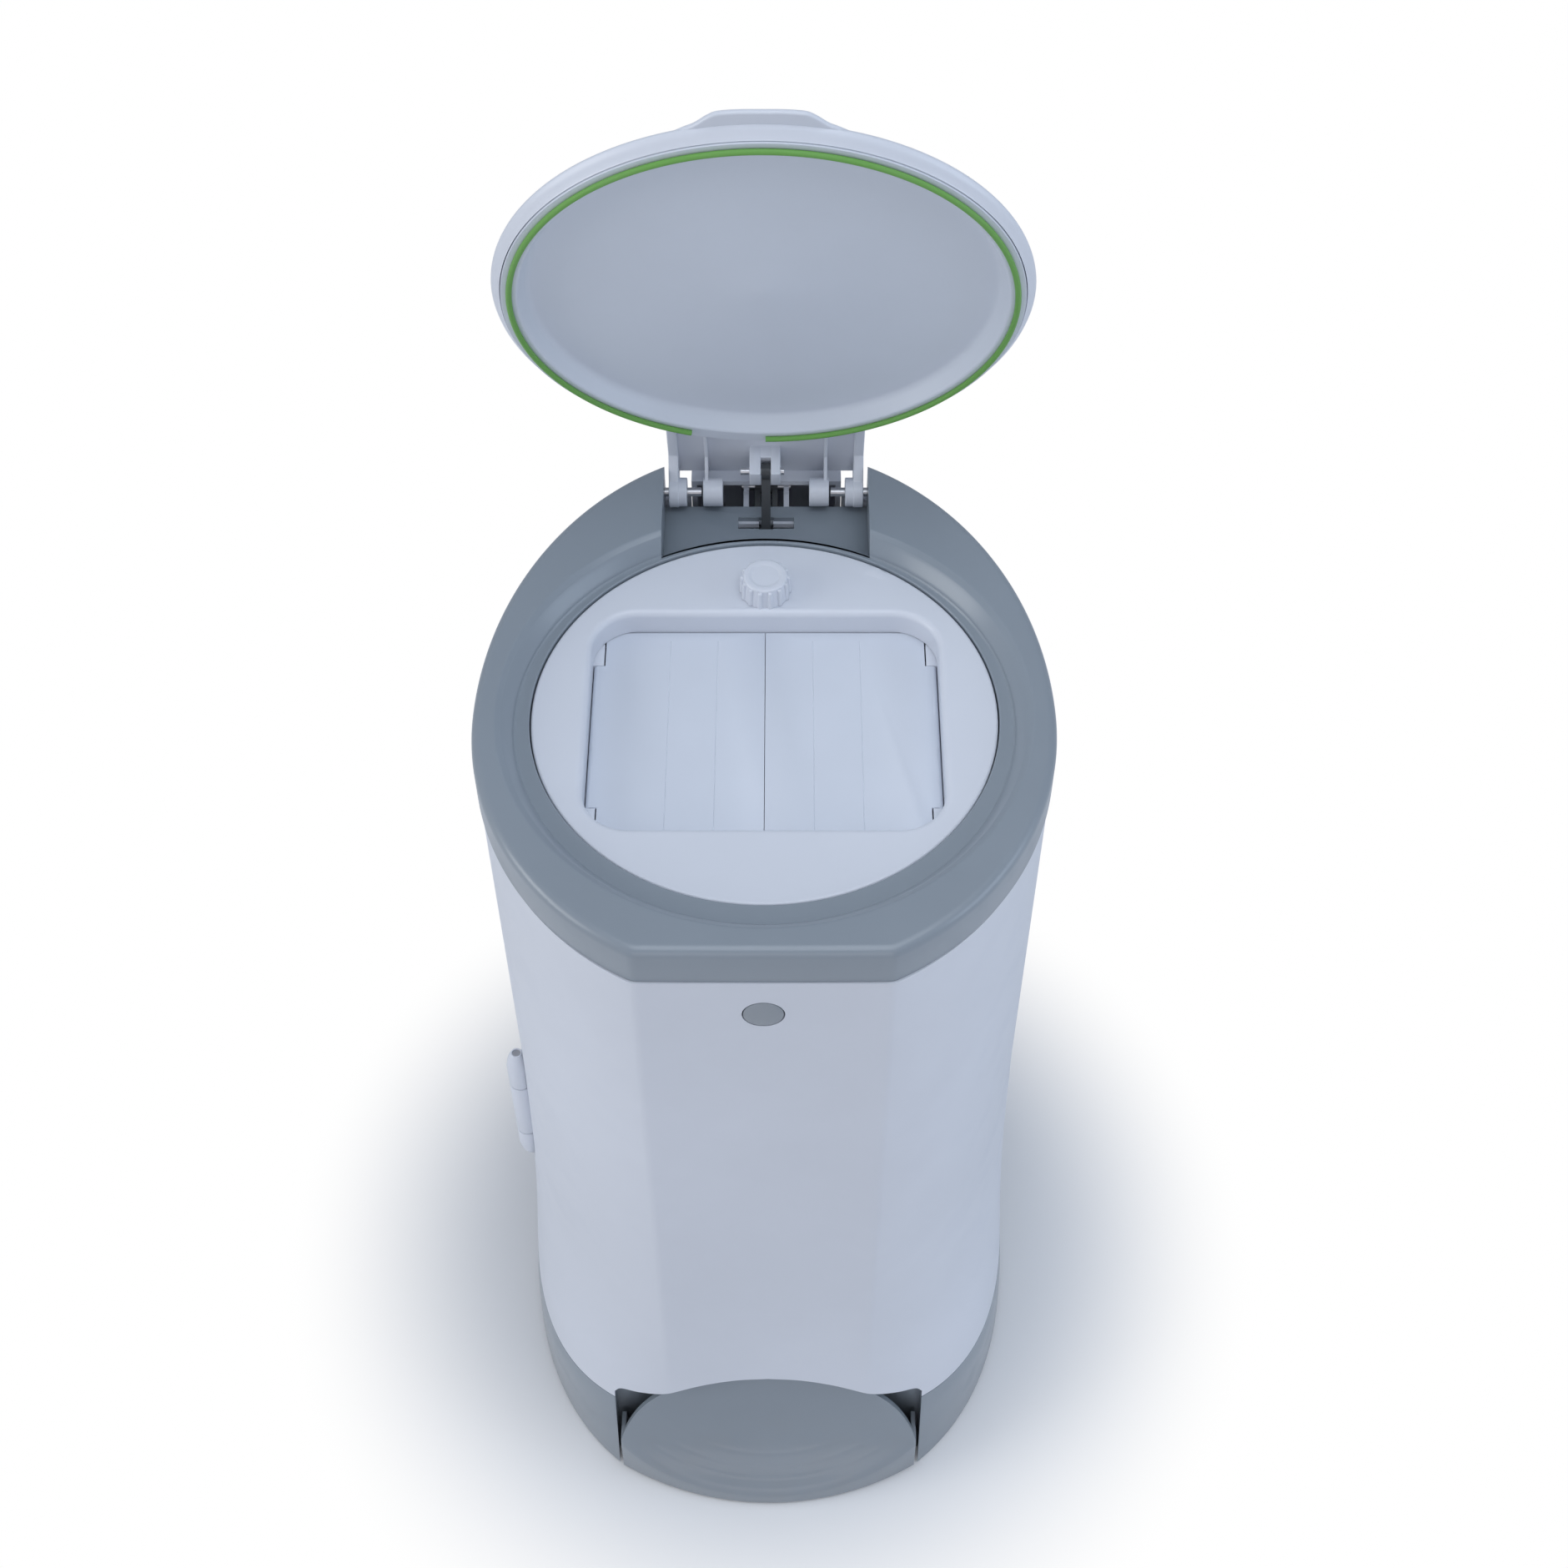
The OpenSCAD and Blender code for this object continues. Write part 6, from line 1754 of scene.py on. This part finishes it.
    def hinge_side(self, side: int, start: float) -> list[Piece]:
        """Cheek, bosses, block and fin of one side of the apron.

        Args:
            side: 1 for the right and -1 for the left.
            start: depth where the apron leaves the lid's rim.

        Returns:
            The side's pieces.
        """
        y, z, r = self.hinge_y, self.hinge_z, self.boss_r
        back, top = self.apron_back, self.apron_top
        low = top - self.apron_skirt
        wall = [(start, top - 0.2), (back, top - 0.2), (y + r * 0.8, z), (y, z - r), (y - r * 0.8, z),
                (y - r * 2.2, low), (start, low)]
        ends = sorted((side * self.apron_half, side * (self.apron_half - self.cheek_t)))
        cheek = MeshKit.prism("cheek", wall, Axis.X, *ends)
        MeshKit.bevel(cheek, 0.6, 3, 25)
        rib = [(start + 4, top - 1), (back - 1, top - 1), (y + 2, z + 4), (y - 4, z), (y - 17, low),
               (start + 4, low)]
        fin = MeshKit.prism("rib", rib, Axis.X, *sorted(side * x for x in self.fin_x))
        MeshKit.bevel(fin, 0.4, 2)
        boss = self.disc("boss", self.block_r, (side * x for x in self.boss_x))
        block = self.disc("block", self.block_r, (side * x for x in self.block_x), bored=False)
        return [cheek, self.disc("cheek_round", r, ends), boss, block, fin]

    def lug(self) -> list[Piece]:
        """Two walls and a bridge that hold the link's upper pin."""
        y, z = self.lug_at
        front = y - self.lug_half
        back = y + self.lug_half
        top = self.apron_top - 0.5
        walls = [MeshKit.slab("lug_wall", (near, front, z - self.lug_under), (far, back, top), self.lug_edge)
                 for near, far in self.lug_walls]
        low = (self.lug_walls[0][0] + 0.2, front + 0.1, z + self.lug_over)
        high = (self.lug_walls[1][1] - 0.2, back - 0.1, top)
        return [*walls, MeshKit.slab("lug_bridge", low, high, self.lug_edge)]

    def disc(self, name: str, radius: float, ends: Iterable[float], bored: bool = True) -> Piece:
        """Round boss about the hinge axis.

        Args:
            name: name of the piece.
            radius: outer radius.
            ends: places of its two ends to the side.
            bored: whether the hinge pin passes it.

        Returns:
            The boss.
        """
        low, high = sorted(ends)
        hole = self.pin_r if bored else 0.0
        corners = [(hole, low), (radius, low), (radius, high), (hole, high)]
        line = Curve2.rounded(corners, [0, 0.6, 0.6, 0], 4)
        if bored:
            line.append(line[0])
        piece = MeshKit.revolve(name, line, (0.0, 0.0), 64)
        piece.data.transform(shift(0, self.hinge_y, self.hinge_z) @ Matrix.Rotation(math.radians(90), 4, "Y"))
        MeshKit.face_outwards(piece)
        return piece

    def build_shell(self) -> Piece:
        """Domed shell with its tab and apron, swung open."""
        dome = MeshKit.revolve("dome", self.shell_profile(), self.centre, 256)
        whole = MeshKit.join("white_lid", [dome, self.tab(), *self.apron()])
        whole.data.transform(self.open_up())
        MeshKit.shade(whole, 36.0)
        return whole

    def build_liner(self) -> Piece:
        """Dished liner inside the lid, swung open."""
        flange = self.radius - self.rim_wall - 0.3
        low = self.flange_z
        deep = self.dish_z
        t = self.liner_t
        corners = [(3.4, deep), (self.dish_r - 4.0, deep), (self.dish_r, low), (flange, low),
                   (flange, low + t), (self.dish_r + t, low + t), (self.dish_r - t, deep + t), (0, deep + t)]
        line = [(0.0, deep - 0.15), (2.6, deep - 0.15),
                *Curve2.rounded(corners, [0, 3.0, 1.2, 0.4, 0.4, 1, 2, 0], 8)]
        liner = MeshKit.revolve("lid_liner", line, self.centre, 256)
        liner.data.transform(self.open_up())
        MeshKit.shade(liner, 36.0)
        return liner

    def build_seal(self, material: bpy.types.Material) -> Piece:
        """Green bead that follows the liner's flange, with its break beside the hinge."""
        grower = Grower("seal_bead", {"Ring": 0.125, "Start": 0.0, "Sweep": 6.0, "Bead": 0.002})
        path = grower.node("GeometryNodeCurveArc", {"mode": "RADIUS"}, {
            "Resolution": 220, "Radius": grower.size("Ring"), "Start Angle": grower.size("Start"),
            "Sweep Angle": grower.size("Sweep")})
        grower.sweep(path.outputs["Curve"], 12, "Bead", material)
        missing = math.asin(self.seal_break / self.seal_r)
        seal = grower.grow("green_seal_ring", {
            "Ring": self.seal_r * MM, "Start": math.pi / 2 + missing, "Sweep": 2 * math.pi - missing,
            "Bead": self.seal_bead * MM},
            self.open_up() @ shift(*self.centre, self.seal_mid_z))
        MeshKit.face_outwards(seal)
        MeshKit.shade(seal, 50.0)
        return seal

    def dress(self, maker: Maker) -> None:
        """Build the lid's three pieces and hand them over."""
        shelf = maker.shelf
        maker.hand_over(self.build_shell(), Body.LID.value, shelf.white, "lid_shell")
        maker.hand_over(self.build_liner(), Body.LID.value, shelf.liner, "lid_panel")
        maker.hand_over(self.build_seal(shelf.ready(shelf.green)), Body.LID.value, shelf.green, "lid_seal")


@dataclass
class Pedal:
    """Smile-fronted pedal: a scooped tread that its round back outline and its curved front edge cut."""

    half: float = 95.5
    back_y: float = -150.0
    front_r: float = 190.0
    front_cy: float = -7.0
    top_z: float = 116.0
    crown_z: float = 107.0
    side_z: float = 40.0
    base_z: float = 14.0
    low_z: float = 8.0
    lip_z: float = 3.0
    wall: float = 3.5
    side_t: float = 3.0
    rib_x: float = 8.2
    side_round: float = 2.0
    front_round: float = 4.0
    share: tuple[Point2, ...] = ((0, 1), (0.06, 0.86), (0.12, 0.70), (0.19, 0.53), (0.31, 0.36), (0.50, 0.21),
                                 (0.75, 0.09), (1, 0.02))
    ridges: tuple[float, ...] = (9.0, 15.0, 21.0)
    ridge_h: float = 0.35
    ridge_w: float = 0.9
    ridge_ends: Point2 = (10.0, 20.0)
    edge_columns: tuple[float, ...] = (0.0, 0.15, 0.5, 1.0, 1.5, 2.0)
    under: float = 1.2
    set_back: float = 1.5

    @property
    def depth(self) -> float:
        """Whole depth from the back line to the front edge's foremost place."""
        return self.front_cy - self.front_r - self.back_y

    def crown(self, x: "np.ndarray | float") -> "np.ndarray | float":
        """Height of the pedal's back outline across its width."""
        rise = self.crown_z - self.side_z
        radius = (self.half ** 2 + rise ** 2) / (2 * rise)
        return self.crown_z - radius + np.sqrt(radius ** 2 - x ** 2)

    def front(self, x: "np.ndarray | float") -> "np.ndarray | float":
        """Depth of the curved front edge across the width."""
        return self.front_cy - np.sqrt(self.front_r ** 2 - x ** 2)

    def tread_z(self, depth: np.ndarray) -> np.ndarray:
        """Height of the tread at shares of the whole depth."""
        fall = Curve2.monotone(*zip(*self.share))
        return self.base_z + fall(depth) * (self.top_z - self.base_z)

    def tread(self) -> Piece:
        """Scooped tread with its front wall."""
        edge = self.half - np.array(self.edge_columns)
        inner = np.linspace(-edge[-1], edge[-1], 96)[1:-1]
        across = np.concatenate([-edge, inner, edge[::-1]])
        last = (self.front(across) - self.back_y) / self.depth
        shares, falls = zip(*self.share[::-1])
        rise = (self.crown(across) - self.base_z) / (self.top_z - self.base_z)
        first = Curve2.monotone(falls, shares)(rise)
        first = np.minimum(first, last - 0.05)
        from_edge = self.half - np.abs(across)
        start, stretch = self.ridge_ends
        fade = np.clip((from_edge - start) / stretch, 0, 1)
        rows = []
        for step in np.concatenate([np.linspace(0.0, 0.8, 56), np.linspace(0.8, 1.0, 26)[1:]]):
            depth = first + (last - first) * step
            y = self.back_y + depth * self.depth
            z = self.tread_z(depth)
            ahead = self.front_r - np.hypot(across, y - self.front_cy)
            for ridge in self.ridges:
                z += self.ridge_h * np.exp(-((ahead - ridge) / self.ridge_w) ** 2) * fade
            side = np.clip(self.side_round - from_edge, 0, self.side_round)
            z -= self.side_round - np.sqrt(self.side_round ** 2 - side ** 2)
            near = np.clip(self.front_round - ahead, 0, self.front_round)
            z -= self.front_round - np.sqrt(np.maximum(self.front_round ** 2 - near ** 2, 0))
            rows.append(np.column_stack([across, y, z]))
        foot = rows[-1]
        for drop in (0.3, 0.65, 1.0):
            lower = foot.copy()
            lower[:, 2] = foot[:, 2] * (1 - drop) + self.lip_z * drop
            rows.append(lower)
        tread = MeshKit.grid("tread", np.array(rows))
        MeshKit.face_away(tread, (0, -150, 5))
        MeshKit.thicken(tread, self.wall)
        return tread

    def upright(self, low: float, high: float) -> Piece:
        """Wall under the tread between two places across."""
        x = max(abs(low), abs(high))
        top = float(self.crown(x))
        front = float(self.front(x)) + self.set_back
        line = []
        for y in np.linspace(self.back_y, front, 24):
            z = float(self.tread_z(np.array([(y - self.back_y) / self.depth]))[0]) - self.under
            line.append((float(y), min(z, top)))
        outline = [(self.back_y, self.low_z), *line, (front, self.low_z)]
        piece = MeshKit.prism("upright", outline, Axis.X, low, high)
        MeshKit.bevel(piece, 0.4, 2, 50)
        return piece

    def build(self) -> Piece:
        """Whole pedal."""
        parts = [self.tread()]
        for side in (-1, 1):
            for near in (self.half - self.side_t, self.rib_x):
                low, high = sorted((side * near, side * (near + self.side_t)))
                parts.append(self.upright(low, high))
        return MeshKit.join("grey_pedal", parts, 45.0)

    def dress(self, maker: Maker) -> None:
        """Build the pedal and hand it over."""
        maker.hand_over(self.build(), Body.PEDAL.value, maker.shelf.grey, "pedal")


@dataclass
class Button:
    """Domed release button in the door."""

    y: float = -158.2
    z: float = 530.0
    radius: float = 10.0
    dome_r: float = 45.0
    length: float = 7.0
    stem_r: float = 3.5
    stem_length: float = 10.0

    def build(self) -> Piece:
        """Whole button with its stem."""
        dome = [(float(x), self.dome_r - math.sqrt(self.dome_r ** 2 - float(x) ** 2))
                for x in (*(self.radius * np.linspace(0.0, 0.96, 12)), self.radius)]
        end = dome.pop()[1]
        line = [*dome, (self.radius - 0.1, end + 0.1), (self.radius, end + 0.5), (self.radius, self.length),
                (self.stem_r, self.length), (self.stem_r, self.length + self.stem_length),
                (0.0, self.length + self.stem_length)]
        button = MeshKit.revolve("release_button", line, (0.0, 0.0), 72)
        button.data.transform(shift(0, self.y, self.z) @ Matrix.Rotation(math.radians(-90), 4, "X"))
        MeshKit.face_outwards(button)
        MeshKit.shade(button, 40.0)
        return button

    def dress(self, maker: Maker) -> None:
        """Build the button and hand it over."""
        maker.hand_over(self.build(), Body.BUTTON.value, maker.shelf.button, "door_button")


@dataclass(frozen=True)
class SpringPlace:
    """One wound spring that stands for a plain tube."""

    node: str
    axis: Axis
    turns: float
    wire: float


@dataclass
class Springs:
    """Wound wire springs, grown from one tree."""

    places: tuple[SpringPlace, ...] = (
        SpringPlace("trap_spring_left", Axis.Y, 12.0, 0.7),
        SpringPlace("trap_spring_right", Axis.Y, 12.0, 0.7),
        SpringPlace("pedal_spring", Axis.Z, 7.0, 1.2),
        SpringPlace("button_spring", Axis.Y, 5.0, 0.7),
    )

    def tree(self, material: bpy.types.Material) -> Grower:
        """Tree that winds a wire."""
        grower = Grower("wound_wire", {"Turns": 6.0, "Coil": 0.005, "Long": 0.02, "Wire": 0.0005})
        path = grower.node("GeometryNodeCurveSpiral", inputs={
            "Resolution": 28, "Rotations": grower.size("Turns"), "Start Radius": grower.size("Coil"),
            "End Radius": grower.size("Coil"), "Height": grower.size("Long")})
        grower.sweep(path.outputs["Curve"], 8, "Wire", material)
        return grower

    def dress(self, maker: Maker, bodies: dict[str, str]) -> None:
        """Grow every spring in the box of its tube.

        Args:
            maker: hands the pieces over.
            bodies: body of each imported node.
        """
        finish = maker.shelf.spring
        grower = self.tree(maker.shelf.ready(finish))
        for place in self.places:
            low, high = (Vector(corner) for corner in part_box(place.node))
            size = high - low
            lying = place.axis is Axis.Y
            wire = place.wire * MM
            long = (size.y if lying else size.z) - wire
            turn = Matrix.Rotation(math.radians(-90), 4, "X") if lying else Matrix.Identity(4)
            start = Matrix.Translation(Vector((0, 0, -long / 2)))
            coil = grower.grow(f"wound_{place.node}", {
                "Turns": place.turns, "Coil": size.x / 2 - wire / 2, "Long": long, "Wire": wire / 2},
                Matrix.Translation((low + high) / 2) @ turn @ start)
            MeshKit.face_outwards(coil)
            MeshKit.shade(coil, 60.0)
            maker.hand_over(coil, bodies[place.node], finish, place.node)


@dataclass
class Hardware:
    """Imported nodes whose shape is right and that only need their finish."""

    white: tuple[str, ...] = ("rear_cover", "chamber_wall", "hinge_bracket")
    grey: tuple[str, ...] = ("chamber_floor", "bag_ring")
    dark: tuple[str, ...] = ("lift_link", "rocker", "pedal_lever", "latch_housing", "latch_keeper",
                             "knob_cam", "latch_tongue", "base_posts", "base_plate", "bearing_left",
                             "bearing_right", "push_rod", "rocker_end_pin")
    rubber: tuple[str, ...] = ("rubber_feet",)

    def dress(self, shelf: FinishShelf, nodes: dict[str, Piece]) -> None:
        """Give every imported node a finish; what isn't named is steel.

        Args:
            shelf: the finishes.
            nodes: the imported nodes.
        """
        groups = ((self.white, shelf.white), (self.grey, shelf.grey), (self.dark, shelf.dark),
                  (self.rubber, shelf.black))
        named = {name: finish for names, finish in groups for name in names}
        for name, node in nodes.items():
            shelf.coat_node(named.get(name, shelf.steel), node)


@dataclass(frozen=True)
class Lamp:
    """One soft square lamp: its place and aim in metres, side, power in watts and colour."""

    name: str
    at: Point3
    aim: Point3
    side: float
    power: float
    tint: Colour

    def light(self) -> None:
        """Add the lamp to the scene."""
        data = bpy.data.lights.new(self.name, "AREA")
        data.size = self.side
        data.energy = self.power
        data.color = self.tint
        lamp = MeshKit.link(self.name, data)
        lamp.location = self.at
        lamp.rotation_euler = (Vector(self.aim) - Vector(self.at)).to_track_quat("-Z", "Y").to_euler()


@dataclass
class Studio:
    """Pale floor, soft lamps and the camera that the photograph was taken with."""

    camera_at: Point3 = (0.010, -0.772, 1.496)
    camera_tilt: float = 38.1
    lens: float = 53.83
    sensor: float = 36.0
    floor_half: float = 3.0
    floor_colour: Colour = (0.86, 0.87, 0.88)
    shadow_reach: Point2 = (0.175, 0.34)
    sky_colour: Colour = (0.80, 0.86, 1.0)
    sky_strength: float = 0.38
    lamps: tuple[Lamp, ...] = (
        Lamp("top_lamp", (0.25, -0.35, 2.6), (0, 0, 0.4), 1.8, 21.0, (0.86, 0.92, 1.0)),
        Lamp("left_lamp", (-2.3, -0.5, 1.3), (0, 0, 0.35), 1.4, 18.5, (0.98, 0.99, 1.0)),
        Lamp("right_lamp", (2.3, -0.4, 1.2), (0, 0, 0.35), 1.4, 11.5, (0.72, 0.84, 1.0)),
        Lamp("front_lamp", (0.0, -2.4, 1.1), (0, 0, 0.5), 1.6, 6.0, (1.0, 0.95, 0.96)),
    )

    def floor(self) -> None:
        """Plain floor that is white to the camera and keeps a soft shadow."""
        half = self.floor_half / MM
        corners = [(-half, -half, 0), (half, -half, 0), (half, half, 0), (-half, half, 0)]
        plate = MeshKit.from_points("floor", corners, [(0, 1, 2, 3)])
        recipe = Recipe("studio_floor")
        recipe.finish({"Base Color": four(self.floor_colour), "Roughness": 0.9, "Specular IOR Level": 0.1})
        glow = recipe.node("ShaderNodeEmission", inputs={"Color": four((1, 1, 1)), "Strength": 1.0})
        path = recipe.node("ShaderNodeLightPath")
        seen = Value(recipe, path.outputs["Is Camera Ray"]) * recipe.step(recipe.spread(), *self.shadow_reach)
        mixed = recipe.node("ShaderNodeMixShader", inputs={
            0: seen, 1: recipe.shader.outputs["BSDF"], 2: glow.outputs["Emission"]})
        recipe.feed(recipe.output, {"Surface": mixed.outputs["Shader"]})
        plate.data.materials.append(recipe.material)

    def world(self) -> None:
        """Even pale surroundings, white where the camera sees them."""
        world = bpy.data.worlds.new("surroundings")
        bpy.context.scene.world = world
        world.use_nodes = True
        bench = Bench(world.node_tree)
        soft = bench.node("ShaderNodeBackground", inputs={
            "Color": four(self.sky_colour), "Strength": self.sky_strength})
        white = bench.node("ShaderNodeBackground", inputs={"Color": four((1, 1, 1))})
        path = bench.node("ShaderNodeLightPath")
        mixed = bench.node("ShaderNodeMixShader", inputs={
            0: path.outputs["Is Camera Ray"], 1: soft.outputs[0], 2: white.outputs[0]})
        bench.node("ShaderNodeOutputWorld", inputs={"Surface": mixed.outputs[0]})

    def camera(self) -> None:
        """Camera at the photograph's angle."""
        data = bpy.data.cameras.new("camera")
        data.sensor_width = self.sensor
        data.lens = self.lens
        camera = MeshKit.link("camera", data)
        camera.location = self.camera_at
        camera.rotation_euler = (math.radians(self.camera_tilt), 0.0, 0.0)
        bpy.context.scene.camera = camera

    def set_up(self) -> None:
        """Build the whole stage."""
        bpy.context.scene.view_settings.view_transform = "Standard"
        self.floor()
        self.world()
        for lamp in self.lamps:
            lamp.light()
        self.camera()


def main() -> None:
    """Build, dress and hand over every piece of the bin."""
    logging.basicConfig(level=logging.INFO, format="%(name)s %(message)s")
    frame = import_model()
    Studio().set_up()
    shelf = FinishShelf()
    maker = Maker(shelf)
    Hardware().dress(shelf, frame["nodes"])
    groups = frame["record"]["behaviour"]["bodies"]
    bodies = {node: body for body, members in groups.items() for node in members}
    for part in (BodyHousing(), Collar(), TrapPlate(), Flaps(), Knob(), Lid(), Pedal(), Button()):
        part.dress(maker)
    Springs().dress(maker, bodies)


if __name__ == "__main__":
    main()
